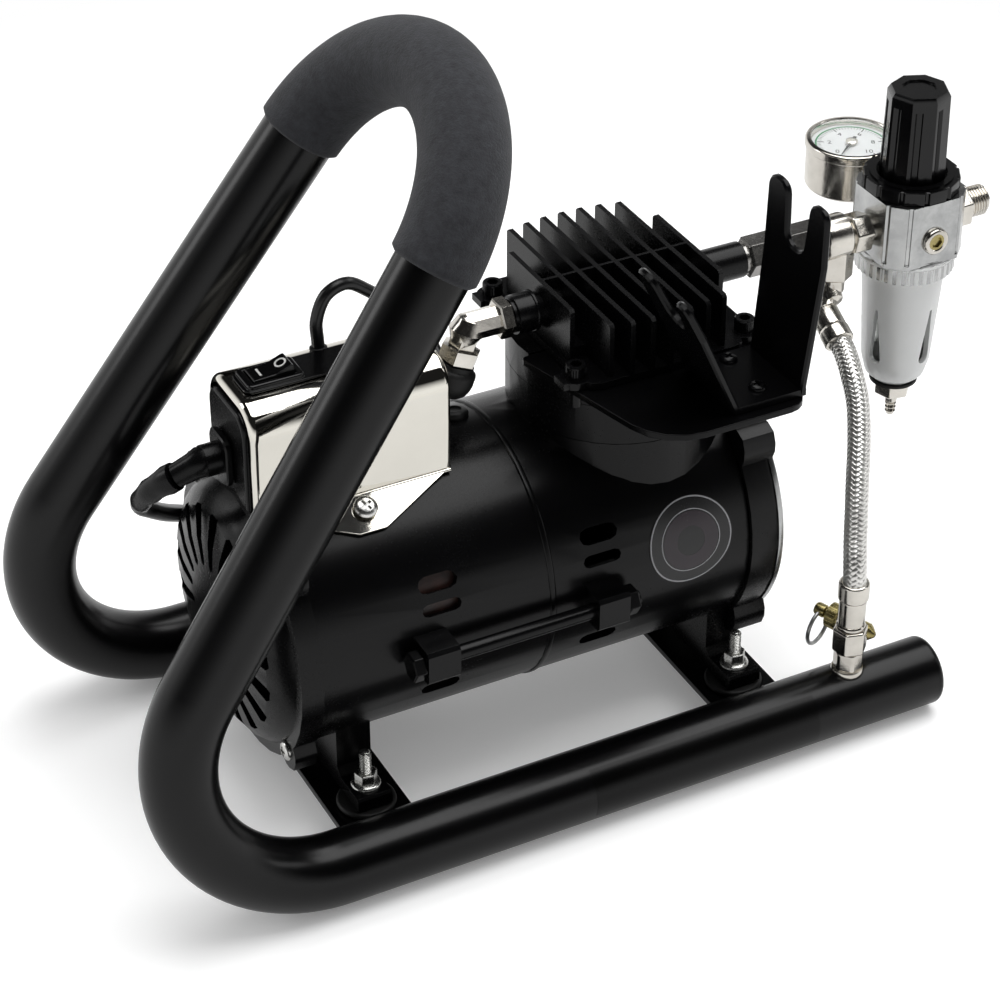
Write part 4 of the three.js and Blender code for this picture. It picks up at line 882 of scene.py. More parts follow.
def badgePatch(outer, inner, proud):
    bm = bmesh.new()
    line = [bm.verts.new((0.001 * (inner + (outer - inner) * k / 6), 0, 0)) for k in range(7)]
    for a, b in zip(line, line[1:]):
        bm.edges.new((a, b))
    bmesh.ops.spin(bm, geom=bm.verts[:] + bm.edges[:], cent=(0, 0, 0), axis=(0, 0, 1),
                   angle=2 * math.pi, steps=72, use_merge=True)
    bmesh.ops.remove_doubles(bm, verts=bm.verts, dist=weld)
    # laid round the shell
    r = (motor["shell"] + proud) * 0.001
    for vert in bm.verts:
        a = math.radians(badge["turn"]) + vert.co.y / r
        vert.co = Vector((badge["x"] * 0.001 + vert.co.x, -r * math.cos(a),
                          shaft.z + r * math.sin(a)))
    bmesh.ops.recalc_face_normals(bm, faces=bm.faces)
    if sum(f.normal.y for f in bm.faces) > 0:
        bmesh.ops.reverse_faces(bm, faces=bm.faces)
    bmesh.ops.solidify(bm, geom=bm.faces, thickness=badge["thick"] * 0.001)
    return bm


asPiece("badgeDisc", badgePatch(badge["radius"], 0, badge["proud"]), "badgeInk",
        weighted=False)
for k, (outer, inner, look) in enumerate(badge["rings"]):
    patch = badgePatch(outer, inner, badge["proud"] + badge["ringsProud"])
    asPiece("badgeRing%d" % (k + 1), patch, look, weighted=False)
print("motor dressed")


# ---- cylinder head and its bolts

refined("cylinder_head", "castingPaint", 0.0004)
capScrew = {"head": 4.2, "ribs": 26, "socket": 4.2, "deep": 2.6}
for place in ("left", "right"):
    for row in ("front", "back"):
        node = "head_bolt_%s_%s" % (place, row)
        low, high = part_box(node)
        mid = Vector(((low.x + high.x) / 2, (low.y + high.y) / 2, 0))
        top, r = high.z * 1000, capScrew["head"]
        bm = turned([(0, low.z * 1000), (2.4, low.z * 1000), (2.4, top - 6), (5, top - 6),
                     (5, top - 5.3), (r - 0.4, top - 5.2), (r - 0.4, top - 0.9),
                     (r - 0.1, top - 0.8), (r - 0.1, top - 0.4), (r - 0.5, top), (0, top)], mid,
                    steps=48)
        fluted(capScrew["ribs"], r, r - 0.25, top - 5.2, top - 0.8, mid, into=bm, bevel=0)
        bolt = asPiece(node + "Fine", bm, "castingPaint", stands=[node])
        carve(bolt,
              prism(6, capScrew["socket"], top - capScrew["deep"], top + 1, mid, bevel=0, turn=0.2))
refined("bracket_plate", "bracketPaint", 0.0008, segments=3)
refined("hanger_fork", "bracketPaint", 0.0005, segments=3)
hangerScrews = {"at": ((53.1, -52.5), (52.5, -75.2)), "height": 178.9, "radius": 3.6}
for k, (x, y) in enumerate(hangerScrews["at"]):
    crossScrew("hangerScrew%d" % (k + 1), mm(x, y, hangerScrews["height"]), (0, 0, 1),
               hangerScrews["radius"], "castingPaint", turn=0.5 + k)
# ring seam on the left port boss
bossSeam = {"in": 8.8, "height": 190}
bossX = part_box("cylinder_head")[0].x * 1000 + bossSeam["in"]
asPiece("bossRing",
        turned([(7.2, 0.3), (8.3, 0.3), (8.5, 0.6), (8.5, 1.4), (8.3, 1.7), (7.2, 1.7), (7.2, 0.3)],
               mm(bossX, 0, bossSeam["height"]), (1, 0, 0), 48), "castingPaint")


# ---- switch box

switchBox = {
    "halfWide": 22.0, "low": 141.0, "edge": 13.0, "lip": 3.0, "sheet": 1.2,
    "flange": 6.4, "proud": 0.3, "bead": 0.8, "beadAt": (22.2, 141.9),
    "screw": 4.8, "screwAt": (-93.9, 28.9, 140.5), "opening": (10, 6),
}
boxLow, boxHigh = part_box("switch_box_cover")
rockerMid = middle("rocker")
flangeR = motor["shell"] + switchBox["proud"]
flangeTurn = math.acos((switchBox["halfWide"] + switchBox["flange"]) / flangeR)


def chromeCover():
    b = switchBox
    bm = bmesh.new()
    size = Vector((boxHigh.x - boxLow.x, 0.002 * b["halfWide"], boxHigh.z - b["low"] * 0.001))
    mid = Vector(((boxLow.x + boxHigh.x) / 2, 0, (boxHigh.z + b["low"] * 0.001) / 2))
    bmesh.ops.create_cube(bm, size=1, matrix=Matrix.Translation(mid) @ Matrix.Diagonal((*size, 1)))
    ridges = [e for e in bm.edges if all(v.co.z > mid.z for v in e.verts)
              and abs(e.verts[0].co.x - e.verts[1].co.x) > 0.01]
    bmesh.ops.bevel(bm, geom=ridges, offset=b["edge"] * 0.001, offset_type="OFFSET", segments=16,
                    profile=0.5, affect="EDGES", material=-1)
    ends = [e for e in bm.edges if abs(e.verts[0].co.x - e.verts[1].co.x) < 1e-6
            and not all(v.co.z < b["low"] * 0.001 + 1e-5 for v in e.verts)]
    bmesh.ops.bevel(bm, geom=ends, offset=b["lip"] * 0.001, offset_type="OFFSET", segments=6,
                    profile=0.5, affect="EDGES", material=-1, clamp_overlap=True)
    bmesh.ops.delete(bm, geom=[f for f in bm.faces if f.normal.z < -0.9
                               or (f.normal.x < -0.99 and f.calc_area() > 0.0005)], context="FACES")
    bmesh.ops.solidify(bm, geom=bm.faces, thickness=b["sheet"] * 0.001)
    return bm


def coverFlange(side, into):
    # a flat ear of the cover that lies on the shell
    out = Vector((0, side * math.cos(flangeTurn), math.sin(flangeTurn)))
    down = Vector((0, side * math.sin(flangeTurn), -math.cos(flangeTurn)))
    at = Vector((0, 0, shaft.z)) + out * flangeR * 0.001
    place = Matrix.Identity(4)
    for column, axis in enumerate((Vector((1, 0, 0)), down * side, out)):
        place.col[column][:3] = axis
    place.translation = at
    x0, x1 = boxLow.x * 1000 + 1.2, boxHigh.x * 1000 - 1
    corners = [(x0, -8.4), (x1, -8.4), (-87.3, 8.4), (-88.6, 9), (-99.6, 9), (-101, 8.4)]
    return flatShape([(x, d * side) for x, d in corners], switchBox["sheet"], place, 0.00035, into)


coverBm = chromeCover()
for side in (-1, 1):
    coverFlange(side, coverBm)
cover = asPiece("switchBoxFine", coverBm, "chromePlate", stands=["switch_box_cover"],
                smooth=35)
openX, openY = switchBox["opening"]
carve(cover, slab((rockerMid.x * 1000 - openX, rockerMid.x * 1000 + openX), (-openY, openY),
                  (boxHigh.z * 1000 - 6, boxHigh.z * 1000 + 4), 0))
# rolled edge along the foot of the cover
for side in (-1, 1):
    beadY, beadZ = switchBox["beadAt"]
    beadFrom, beadRun = boxLow.x * 1000 + 3.5, (boxHigh.x - boxLow.x) * 1000 - 5
    bead = [mm(beadFrom + beadRun * k / 20, side * beadY, beadZ) for k in range(21)]
    asPiece("coverBead" + ("Front" if side < 0 else "Back"),
            swept(bead, switchBox["bead"] * 0.001, 16), "chromePlate", weighted=False)
refined("box_end_piece", "mouldedPlastic", 0.0005, segments=3)
refined("switch_panel", "glossPlastic", 0.0004, segments=3)
refined("rocker", "glossPlastic", 0.0004, segments=3)
refined("cord_gland", "mouldedPlastic", 0.0004)
# each mark lies flat on its own half of the rocker
rockerMark = {
    "thick": 0.12,
    "bar": {"x": -4.6, "z": 194.35, "tilt": -2.6},
    "ring": {"x": 4.4, "z": 196.25, "tilt": -21.5, "outer": 2.5, "inner": 1.7},
}


def markPlace(mark):
    at = mm(rockerMid.x * 1000 + mark["x"], 0, mark["z"])
    return Matrix.Translation(at) @ Matrix.Rotation(math.radians(mark["tilt"]), 4, "Y")


bar, circle = rockerMark["bar"], rockerMark["ring"]
marks = slab((-0.45, 0.45), (-2.6, 2.6), (0, rockerMark["thick"]), 0.00003, place=markPlace(bar))
ringMark(circle["outer"], circle["inner"], rockerMark["thick"], markPlace(circle), into=marks)
asPiece("rockerMarks", marks, "whiteMark", body="rocker", weighted=False)
screwX, screwY, screwZ = switchBox["screwAt"]
for k, side in enumerate((-1, 1)):
    crossScrew("boxScrew%d" % (k + 1), mm(screwX, side * screwY, screwZ),
               (0, side * math.cos(flangeTurn), math.sin(flangeTurn)), switchBox["screw"],
               turn=0.5 + k, rise=2.1)
print("switch box closed")


# ---- discharge side

refined("discharge_elbow", "nickelPlate", 0.0005, segments=3)
bootAt, bootAim = mm(-35.575, 0, 187), (-0.36, 0, -0.93)
asPiece("pressureBoot",
        turned(
            [(0, 12.3), (7.2, 12.3), (7.6, 12.6), (7.6, 14), (8.2, 14.6), (9.2, 15.4), (9.4, 16.4),
             (9.4, 20), (9, 22), (8, 24.4), (6, 26.2), (4, 27), (0, 27)], bootAt, bootAim, 48),
        "mountRubber", stands=["pressure_switch"])
lead = {"radius": 2.6,
        "points": [
            (-93.97, 11, 191.4), (-94.17, 11, 195), (-94.27, 11, 203.4), (-89.67, 11, 213.6),
            (-81.27, 11, 216.4), (-71.77, 11, 210.4), (-62.57, 12, 201.5), (-53.57, 14.5, 193.2),
            (-45.57, 17.5, 183), (-41.97, 16.8, 174), (-41.77, 11, 170)]}
asPiece("leadFine",
        swept(smoothPath([mm(*p) for p in lead["points"]], 70), lead["radius"] * 0.001, 18),
        "cordJacket", stands=["switch_lead"], weighted=False)
# rubber grommets on the shell and on top of the box
grommets = {
    "shell": {"at": mm(-36.5, 9.6, 144.2), "axis": (0, 0.17, 0.98)},
    "lead": {"at": mm(-94, 11, 190.9), "axis": (0, 0.12, 1)},
}
asPiece("shellGrommet",
        turned([(0, -1), (5.6, -1), (5.9, 0.4), (5.6, 1.6), (4.6, 2.2), (3.2, 2.4), (3, 1.6),
                (0, 1.6)], grommets["shell"]["at"], grommets["shell"]["axis"], 40),
        "mountRubber")
asPiece("leadGrommet",
        turned([(0, -0.6), (3.3, -0.6), (3.6, 0), (3.5, 0.5), (2.9, 0.8), (2.6, 0.6), (0, 0.6)],
               grommets["lead"]["at"], grommets["lead"]["axis"], 36), "mountRubber")
refined("manifold_bar", "darkNickel", 0.0006, segments=3)

teeAt = {"x": 136.425, "z": 187, "portZ": 186}
teePort = mm(teeAt["x"], 0, teeAt["portZ"])
teeBm = turned([(0, -8.9), (8.1, -8.9), (9.1, -8.1), (9.4, -7.2), (9.4, 2.6), (9.1, 3.2),
                (8.3, 3.7), (6.4, 4), (0, 4)], mm(teeAt["x"], 0, teeAt["z"]), (1, 0, 0), 56)
turned([(0, 0), (6.1, 0), (6.1, 3), (5.4, 3.4), (5.4, 16), (0, 16)], teePort + mm(3, 0, 0),
       (1, 0, 0), 40, teeBm)
prism(6, 15.5, 5.6, 14.2, teePort, (1, 0, 0), 0.0009, 0.26, teeBm, 3)
prism(6, 14, 168, 182, mm(teeAt["x"], 0, 0), (0, 0, 1), 0.0008, 0.0, teeBm, 3)
asPiece("teeFine", teeBm, "nickelPlate", stands=["tee"])


# ---- regulator

reg = {"x": 171.925, "half": 19.6, "portZ": 186}
regAt = mm(reg["x"], 0, 0)
refined("regulator_body", "castSilver", 0.0006, segments=3)
collar = turned([(17, 165.2), (20.4, 165.2), (20.6, 165.6), (20.6, 171.6), (21.2, 172),
                 (21.2, 172.8), (20.6, 173.3), (17, 173.4), (17, 165.2)], regAt, steps=72)
fluted(36, 21.2, 20.3, 165.4, 171.8, regAt, into=collar, bevel=0.00015, duty=0.5)
asPiece("collarRibs", collar, "guardSilver")
lockBm = fluted(12, 20.4, 19.2, 202.7, 208.3, regAt, bevel=0.0003, duty=0.78)
ringMark(17.6, 14.9, 1.6, Matrix.Translation(mm(reg["x"], 0, 207.4)), 48, lockBm)
lockRing = asPiece("lockRingFine", lockBm, "glossPlastic", stands=["lock_ring"])
carve(lockRing, turned([(0, 200), (14.7, 200), (14.7, 212), (0, 212), (0, 200)], regAt, steps=48))
refined("regulator_knob", "glossPlastic", 0.0005, segments=3)
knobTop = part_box("regulator_knob")[1].z * 1000
asPiece("knobRing", ringMark(7.3, 6.7, 0.6, Matrix.Translation(mm(reg["x"], 0, knobTop - 0.9)), 48),
        "glossPlastic", body="knob", weighted=False)
refined("bowl_guard", "guardSilver", 0.0005)
asPiece("clearBowl",
        turned([(0, 113), (9.6, 113.6), (11.4, 117), (12.6, 128), (13.3, 150), (13.6, 164),
                (12.2, 164), (12.2, 150), (11.4, 128), (10.2, 118), (0, 115), (0, 113)], regAt,
               steps=48), "bowlPlastic")
asPiece("bowlSeal",
        turned([(0, 107.2), (9.6, 107.2), (10.4, 107.6), (10.4, 108.6), (9.6, 109.1), (0, 109.1)],
               regAt, steps=40), "mountRubber")
drainBm = prism(6, 14, 100.4, 107, regAt, bevel=0.0008, turn=0.3, segments=3)
turned([(0, 88.7), (1.2, 88.7), (1.7, 89.2), (2.4, 90.8), (1.7, 91.2), (2.5, 92.8), (1.8, 93.2),
        (2.6, 94.8), (2.1, 95.2), (2.6, 96), (2.6, 100.6), (0, 100.6)], regAt, steps=32,
       into=drainBm)
asPiece("drainFine", drainBm, "nickelPlate", body="drain", stands=["drain_valve"])

# socket plug in the front port
portPlugAt = mm(reg["x"] + 0.4, -reg["half"] - 0.1, 185)
asPiece("portRing",
        turned([(3.4, 0), (5.6, 0), (5.9, 0.5), (5.8, 1.3), (5.2, 1.9), (4.4, 2.1), (3.9, 1.9),
                (3.4, 1.5), (3.4, 0)], portPlugAt, (0, -1, 0), 48), "nickelPlate")
socketPlug = asPiece("socketPlug",
                     turned([(0, 0), (3.9, 0), (3.9, 1.2), (3.5, 1.6), (0, 1.6)], portPlugAt,
                            (0, -1, 0), 36), "agedBrass")
carve(socketPlug, prism(6, 4.6, 0.5, 3, portPlugAt, (0, -1, 0), 0, 0.3))

outletX = 192
outletAt = mm(0, 0, reg["portZ"])
outletBm = prism(6, 17, outletX + 0.6, outletX + 7.8, outletAt, (1, 0, 0), 0.0008, 0.1, segments=3)
turned([(4.2, outletX + 7), (5.9, outletX + 7), (5.9, 208.9), (5.2, 210), (4.2, 210),
        (4.2, outletX + 7)], outletAt, (1, 0, 0), 40, outletBm)
turned([(0, outletX), (6, outletX), (6, outletX + 1), (0, outletX + 1)], outletAt, (1, 0, 0), 32,
       outletBm)
thread(6.6, 1.34, outletX + 8.6, 209.2, outletAt, (1, 0, 0), 40, 0.75, outletBm)
asPiece("outletFine", outletBm, "nickelPlate", stands=["outlet_nipple"])
print("regulator dressed")


# ---- gauge

gauge = {
    "x": 172.425, "y": 45.5, "r": 20.0, "top": 203.3, "base": 181.0, "dial": 199.4, "disc": 0.12,
    "block": ((167.2, 177.2), (19.9, 27.5), (184.5, 194.5)), "needle": 200.5,
}
gaugeAt = mm(gauge["x"], gauge["y"], 0)
r, top, base = gauge["r"], gauge["top"], gauge["base"]
gaugeBm = turned(
    [(0, base), (r - 2.6, base), (r - 1.4, base + 0.5), (r - 0.8, base + 1.6), (r - 0.7, top - 4.4),
     (r - 0.2, top - 4.1), (r, top - 3.5), (r, top - 1), (r - 0.3, top - 0.4), (r - 0.9, top),
     (r - 2.1, top), (r - 2.4, top - 0.4), (r - 2.5, top - 3.9), (0, top - 3.9)], gaugeAt, steps=96)
slab(*gauge["block"], 0.0008, gaugeBm, 3)
asPiece("gaugeCaseFine", gaugeBm, "nickelPlate", stands=["gauge_case"])
stemBm = prism(4, 10.4, -26.8, -19.95, mm(reg["x"] + 0.5, 0, 189.5), (0, -1, 0), 0.0006,
               math.pi / 4, segments=2)
asPiece("gaugeStem", stemBm, "bareBrass")
dialTop = gauge["dial"] + gauge["disc"]
asPiece("dialDisc",
        turned([(0, gauge["dial"]), (r - 2.6, gauge["dial"]), (r - 2.6, dialTop),
                (0, dialTop)], gaugeAt, steps=72), "dialFace")
inkBm = bmesh.new()
dial = {"sweep": 270, "starts": 225, "ticks": 50, "figures": ("0", "2", "4", "6", "8", "10"),
        "figureSize": 3.9, "figuresAt": 9.4, "arc": (14.8, 15.6), "ticksTo": 14.6,
        "tick": (13.0, 0.1), "longTick": (11.8, 0.24), "longEvery": 10}
facing = math.radians(-27)        # which way up the dial reads
for k in range(dial["ticks"] + 1):
    a = facing + math.radians(dial["starts"] - dial["sweep"] * k / dial["ticks"])
    tickFrom, tickHalf = dial["tick" if k % dial["longEvery"] else "longTick"]
    spot = Matrix.Translation(gaugeAt + mm(0, 0, dialTop)) @ Matrix.Rotation(a, 4, "Z")
    slab((tickFrom, dial["ticksTo"]), (-tickHalf, tickHalf), (0, 0.05), 0, inkBm, place=spot)
for k, text in enumerate(dial["figures"]):
    a = facing + math.radians(dial["starts"] - dial["sweep"] * k / (len(dial["figures"]) - 1))
    out = dial["figuresAt"]
    at = gaugeAt + mm(out * math.cos(a), out * math.sin(a), dialTop + 0.02)
    figure(text, dial["figureSize"], Matrix.Translation(at) @ Matrix.Rotation(facing, 4, "Z"),
           inkBm)
asPiece("dialMarks", inkBm, "dialInk", weighted=False)
arcBm = bmesh.new()
arcBm.edges.new([arcBm.verts.new(mm(r, 0, 0)) for r in dial["arc"]])
bmesh.ops.spin(arcBm, geom=arcBm.verts[:] + arcBm.edges[:], cent=(0, 0, 0), axis=(0, 0, 1),
               angle=math.radians(dial["sweep"]), steps=60)
arcTurn = facing + math.radians(dial["starts"] - dial["sweep"])
arcPlace = Matrix.Translation(gaugeAt + mm(0, 0, dialTop + 0.06)) @ Matrix.Rotation(arcTurn, 4, "Z")
bmesh.ops.transform(arcBm, matrix=arcPlace, verts=arcBm.verts)
bmesh.ops.solidify(arcBm, geom=arcBm.faces, thickness=0.00004)
asPiece("dialArc", arcBm, "dialTint", weighted=False)
needleAim = Vector((-0.79, -0.61, 0)).normalized()
needleTurn = math.atan2(needleAim.y, needleAim.x)
needleAt = gaugeAt + mm(0, 0, gauge["needle"])
needlePlace = Matrix.Translation(needleAt) @ Matrix.Rotation(needleTurn, 4, "Z")
needleBm = flatShape([(-4.5, -0.7), (12.6, -0.14), (12.6, 0.14), (-4.5, 0.7)], 0.35, needlePlace, 0)
asPiece("needleFine", needleBm, "dialInk", body="needle", stands=["gauge_needle"])
asPiece("needleHub",
        turned([(0, 199.9), (2.2, 199.9), (2.2, 200.4), (2.6, 200.5), (2.6, 201), (2, 201.4),
                (0, 201.6)], gaugeAt, steps=40), "nickelPlate", body="needle")
asPiece("gaugeGlass",
        turned([(0, 202.15), (17.4, 202.15), (17.4, 202.75), (9, 202.95), (0, 203.05)], gaugeAt,
               steps=64), "gaugeGlass")
print("gauge dressed")


# ---- hose line

hose = {
    "core": 4.1, "braid": 4.6, "wave": 0.17, "carriers": 12, "lay": 25.0, "ribbon": 1.62,
    "thin": 0.42, "steps": 56,
    "points": [(128.43, -19.27, 148.37), (128.09, -24.4, 145.9), (125.83, -34, 140.6),
               (123.73, -42.5, 133), (118.23, -53.5, 121), (112.23, -63, 109.7), (108.03, -70, 100),
               (104.43, -76, 89.4), (101.53, -81.3, 81), (100.83, -82.9, 75),
               (100.83, -82.9, 71.7)]}


def laidAlong(bm, path):
    # bends a straight piece, standing on z = 0, along the path without twisting it
    aims = headings(path)
    side = aims[0].orthogonal().normalized()
    frames = [(side, aims[0].cross(side))]
    for before, after in zip(aims, aims[1:]):
        side = (before.rotation_difference(after) @ side).normalized()
        frames.append((side, after.cross(side)))
    length = sum((b - a).length for a, b in zip(path, path[1:]))
    for vert in bm.verts:
        place = vert.co.z / length * (len(path) - 1)
        k = min(max(int(place), 0), len(path) - 2)
        u, v = (a.lerp(b, place - k) for a, b in zip(frames[k], frames[k + 1]))
        vert.co = path[k].lerp(path[k + 1], place - k) + u * vert.co.x + v * vert.co.y
    return bm


def braidStrands(path):
    h = hose
    length = sum((b - a).length for a, b in zip(path, path[1:]))
    turns = length * 1000 / h["lay"]
    pitch = math.atan(2 * math.pi * h["braid"] / h["lay"])
    bm = bmesh.new()
    for way in (-1, 1):
        for c in range(h["carriers"]):
            strand = bmesh.new()
            ring = bmesh.ops.create_circle(strand, cap_ends=False, radius=1, segments=12)["verts"]
            for vert in ring:
                # flat section whose outer side shows three wires
                across = vert.co.x * h["ribbon"] / 2
                wires = 0.72 + 0.28 * abs(math.cos(vert.co.x * math.pi * 1.5))
                lift = vert.co.y * h["thin"] / 2 * wires
                vert.co = mm(h["braid"] + lift, across * math.cos(pitch),
                             -way * across * math.sin(pitch))
            steps = round(turns * h["steps"])
            bmesh.ops.spin(strand, geom=strand.verts[:] + strand.edges[:], cent=(0, 0, 0),
                           axis=(0, 0, way), dvec=(0, 0, length / steps), angle=2 * math.pi * turns,
                           steps=steps)
            bmesh.ops.holes_fill(strand, edges=[e for e in strand.edges if e.is_boundary], sides=0)
            bmesh.ops.rotate(strand, cent=(0, 0, 0),
                             matrix=Matrix.Rotation(2 * math.pi * c / h["carriers"], 3, "Z"),
                             verts=strand.verts)
            for vert in strand.verts:
                # over two crossing strands, then under two
                phase = math.pi * (c + way * h["carriers"] * vert.co.z * 1000 / h["lay"] - 0.25)
                vert.co.xy *= 1 + way * h["wave"] / h["braid"] * math.cos(phase)
            joined(bm, strand)
    return laidAlong(bm, path)


hosePath = smoothPath([mm(*p) for p in hose["points"]], 70)
asPiece("hoseCore", swept(hosePath, hose["core"] * 0.001, 24), "hoseCore",
        stands=["air_hose"], weighted=False)
asPiece("hoseBraid", braidStrands(smoothPath([mm(*p) for p in hose["points"]], 90)), "braidWire",
        smooth=80, weighted=False)
refined("hose_elbow", "nickelPlate", 0.0003)
hoseAim = Vector((-0.05, -0.9, -0.43)).normalized()
hoseTop = mm(128.425, -19, 148.5)
asPiece("ferruleTop",
        turned([(4.6, -15.2), (5.4, -15.2), (6, -14.6), (6.15, -14), (6.15, -6.6), (5.9, -6),
                (6.25, -5.4), (6.5, -4.6), (6.5, 0.4), (6.2, 1), (5.2, 1.2), (4.6, 0.6),
                (4.6, -15.2)], hoseTop, hoseAim, 48), "nickelPlate")
bungAt = mm(100.825, -82.9, 0)
bungBm = turned([(0, 26), (3.9, 26), (3.9, 28.6), (6.6, 28.6), (7, 29), (7, 30.6), (6.4, 31.4),
                 (0, 31.4)], bungAt, steps=48)
prism(6, 11.4, 31, 40.4, bungAt, (0, 0, 1), 0.0012, 0.78, bungBm, 3)
prism(6, 13.4, 40.4, 51.8, bungAt, (0, 0, 1), 0.0011, 0.25, bungBm, 3)
turned([(0, 51), (5.4, 51), (5.4, 52.2), (6.1, 52.6), (6.2, 53.2), (6.1, 53.8), (5.5, 54.2),
        (5.7, 54.8), (5.7, 65.4), (5.5, 66), (6.2, 66.6), (6.5, 67.4), (6.5, 73.8), (6.2, 74.6),
        (5.4, 75), (0, 75)], bungAt, steps=56, into=bungBm)
turned([(0, 0), (2.8, 0), (2.8, 8.2), (0, 8.2)], bungAt + mm(0, 0, 42), (7.3, 3.4, 0), 24, bungBm)
asPiece("hoseBungFine", bungBm, "nickelPlate", stands=["hose_bung"])
refined("safety_valve", "agedBrass", 0.0003)
valveAt, valveAim = mm(107.825, -68.7, 42.5), (-0.42, 0.905, 0.05)
valveBm = prism(6, 10.5, -6.3, -1.2, valveAt, valveAim, 0.0006, 0.2, segments=2)
thread(4.0, 0.9, -11.6, -7, valveAt, valveAim, 28, 0.5, valveBm)
fluted(20, 5.6, 5.1, 3, 7.3, valveAt, valveAim, 0.00012, 0.55, valveBm)
asPiece("valveHexes", valveBm, "agedBrass")
pullBm = turned([(0, 2), (1.9, 2), (1.9, 9), (2.6, 9.4), (2.9, 10), (2.9, 13.4), (2.4, 14.2),
                 (0, 14.6)], valveAt, valveAim, 32)
asPiece("pullKnob", pullBm, "agedBrass", body="relief", stands=["valve_pull"])
pull = {"ring": 8.1, "wire": 0.85, "out": 11.6}
ringMid = valveAt + Vector(valveAim).normalized() * pull["out"] * 0.001 + mm(-1.2, 0, -pull["ring"])
ringBm = bmesh.new()
wire = bmesh.ops.create_circle(ringBm, cap_ends=False, radius=pull["wire"] * 0.001, segments=12)
for vert in wire["verts"]:
    vert.co = Vector((pull["ring"] * 0.001 + vert.co.x, 0, vert.co.y))
bmesh.ops.spin(ringBm, geom=ringBm.verts[:] + ringBm.edges[:], cent=(0, 0, 0), axis=(0, 0, 1),
               angle=2 * math.pi, steps=56, use_merge=True)
bmesh.ops.transform(ringBm, matrix=aim(ringMid, valveAim), verts=ringBm.verts)
asPiece("pullRing", ringBm, "machinedSteel", body="relief", weighted=False)
print("hose line laid")


# ---- studio

scene.view_settings.view_transform = "Standard"
studio = {
    "floor": 8.0, "below": 0.3,
    "floorSeen": 0.95,        # how pale the floor is to the camera
    "floorColour": 0.58,      # and to everything else
    "lift": 0.14,             # its own glow beside the machine
    "whiteFrom": (0.27, 0.75),  # distance over which it turns to plain white
    "horizon": 0.9, "backWall": 0.85, "room": 0.012,      # how pale each part of the room is
    "horizonFades": (0.02, 0.34), "wallFades": (0.22, 0.5), "wallStarts": (-0.1, 0.45),
}


def reckoned(tree, how, first, second):
    # the sum, product or other outcome of two values
    result = addNode(tree, "ShaderNodeMath", operation=how)
    for socket, value in zip(result.inputs, (first, second)):
        if isinstance(value, float):
            socket.default_value = value
        else:
            tree.links.new(value, socket)
    return result.outputs[0]


def seenDirectly(tree):
    # 1 for the camera and for what metal and glass show of the background
    rays = addNode(tree, "ShaderNodeLightPath")
    seen = rays.outputs["Is Camera Ray"]
    for other in ("Is Glossy Ray", "Is Transmission Ray"):
        seen = reckoned(tree, "MAXIMUM", seen, rays.outputs[other])
    return seen


def floorFinish():
    material, tree, shader = blankFinish("paleFloor")
    tree.nodes.remove(shader)
    matt = addNode(tree, "ShaderNodeBsdfDiffuse")
    seen = seenDirectly(tree)
    place = addNode(tree, "ShaderNodeTexCoord")
    away = addNode(tree, "ShaderNodeVectorMath", operation="LENGTH")
    tree.links.new(place.outputs["Object"], away.inputs[0])
    far = spread(tree, away.outputs["Value"], 0, 1, *studio["whiteFrom"])
    whitened = reckoned(tree, "MULTIPLY", seen, far)
    kept = reckoned(tree, "SUBTRACT", 1.0, whitened)
    looked = addNode(tree, "ShaderNodeLightPath").outputs["Is Camera Ray"]
    tone = spread(tree, looked, studio["floorColour"], studio["floorSeen"], 0, 1)
    tree.links.new(reckoned(tree, "MULTIPLY", tone, kept), matt.inputs["Color"])
    lift = addNode(tree, "ShaderNodeEmission")
    glow = spread(tree, far, studio["lift"], 1.0, 0, 1)
    tree.links.new(reckoned(tree, "MULTIPLY", seen, glow), lift.inputs["Strength"])
    both = addNode(tree, "ShaderNodeAddShader")
    tree.links.new(matt.outputs[0], both.inputs[0])
    tree.links.new(lift.outputs[0], both.inputs[1])
    tree.links.new(both.outputs[0], tree.nodes["Material Output"].inputs["Surface"])
    return material


floorMesh = bpy.data.meshes.new("studioFloor")
bm = bmesh.new()
bmesh.ops.create_grid(bm, x_segments=2, y_segments=2, size=studio["floor"] / 2)
bm.to_mesh(floorMesh)
bm.free()
studioFloor = bpy.data.objects.new("studioFloor", floorMesh)
scene.collection.objects.link(studioFloor)
studioFloor.location.z = -studio["below"] * 0.001
floorMesh.materials.append(floorFinish())

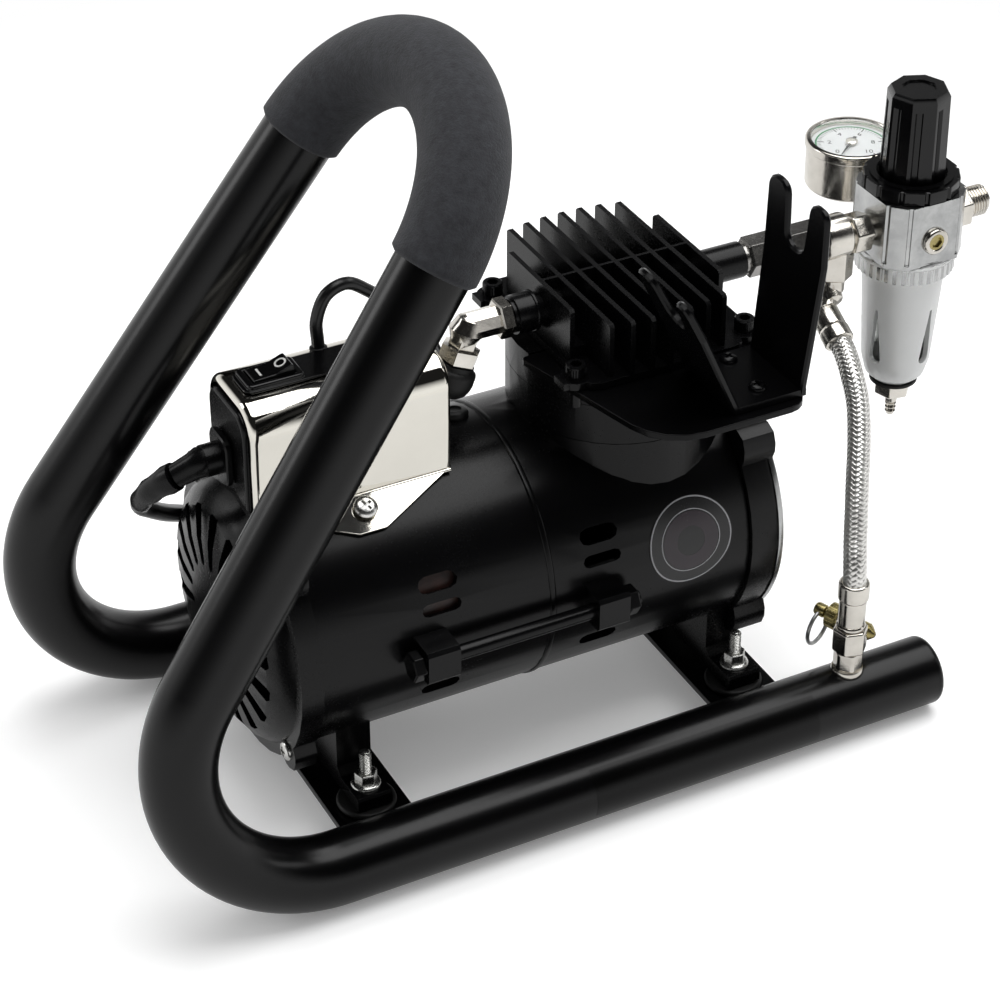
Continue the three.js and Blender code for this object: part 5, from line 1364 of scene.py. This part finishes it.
# pale low down all round and on the wall behind, dark in the rest of the room
world = bpy.data.worlds.new("studioWorld")
scene.world = world
world.use_nodes = True
worldTree = world.node_tree
backdrop = worldTree.nodes["Background"]
towards = addNode(worldTree, "ShaderNodeTexCoord")
parts = addNode(worldTree, "ShaderNodeSeparateXYZ")
worldTree.links.new(towards.outputs["Generated"], parts.inputs["Vector"])
lowDown = spread(worldTree, parts.outputs["Z"], studio["horizon"], studio["room"],
                 *studio["horizonFades"])
wall = spread(worldTree, parts.outputs["Z"], studio["backWall"], studio["room"],
              *studio["wallFades"])
behind = spread(worldTree, parts.outputs["Y"], studio["room"], 1.0, *studio["wallStarts"])
dimmed = reckoned(worldTree, "MAXIMUM", lowDown, reckoned(worldTree, "MINIMUM", wall, behind))
rays = addNode(worldTree, "ShaderNodeLightPath")
plain = reckoned(worldTree, "MAXIMUM", rays.outputs["Is Camera Ray"],
                 rays.outputs["Is Transmission Ray"])
level = reckoned(worldTree, "MAXIMUM", dimmed, plain)
worldTree.links.new(level, backdrop.inputs["Strength"])
backdrop.inputs["Color"].default_value = (1, 1, 1, 1)


def softbox(name, stands, looksAt, size, power):
    data = bpy.data.lights.new(name, "AREA")
    data.shape = "RECTANGLE"
    data.size, data.size_y = size
    data.energy = power
    lamp = bpy.data.objects.new(name, data)
    scene.collection.objects.link(lamp)
    lamp.location = stands
    lamp.rotation_euler = (Vector(looksAt) - Vector(stands)).to_track_quat("-Z", "Y").to_euler()
    return lamp


lamps = {
    "topBox": {"stands": (0.3, 0, 1.3), "looksAt": (0.15, 0.02, 0.1), "size": (1.2, 1.35),
               "power": 17},
    "backBox": {"stands": (-1.3, 1.0, 0.9), "looksAt": (0, 0, 0.12), "size": (0.5, 0.8),
                "power": 4},
    "rightBox": {"stands": (1.3, -0.7, 0.8), "looksAt": (0, 0, 0.12), "size": (0.3, 0.8),
                 "power": 1.4},
    "ceilingFill": {"stands": (-0.1, 0, 1.7), "looksAt": (-0.1, 0, 0), "size": (5, 5), "power": 62},
}
hung = {name: softbox(name, **lamp) for name, lamp in lamps.items()}
# the fill softens the shadow on the floor and leaves the machine alone
ceilingFill = hung["ceilingFill"]
ceilingFill.visible_glossy = False
floorOnly = bpy.data.collections.new("floorOnly")
floorOnly.objects.link(studioFloor)
ceilingFill.light_linking.receiver_collection = floorOnly
print("studio lit")
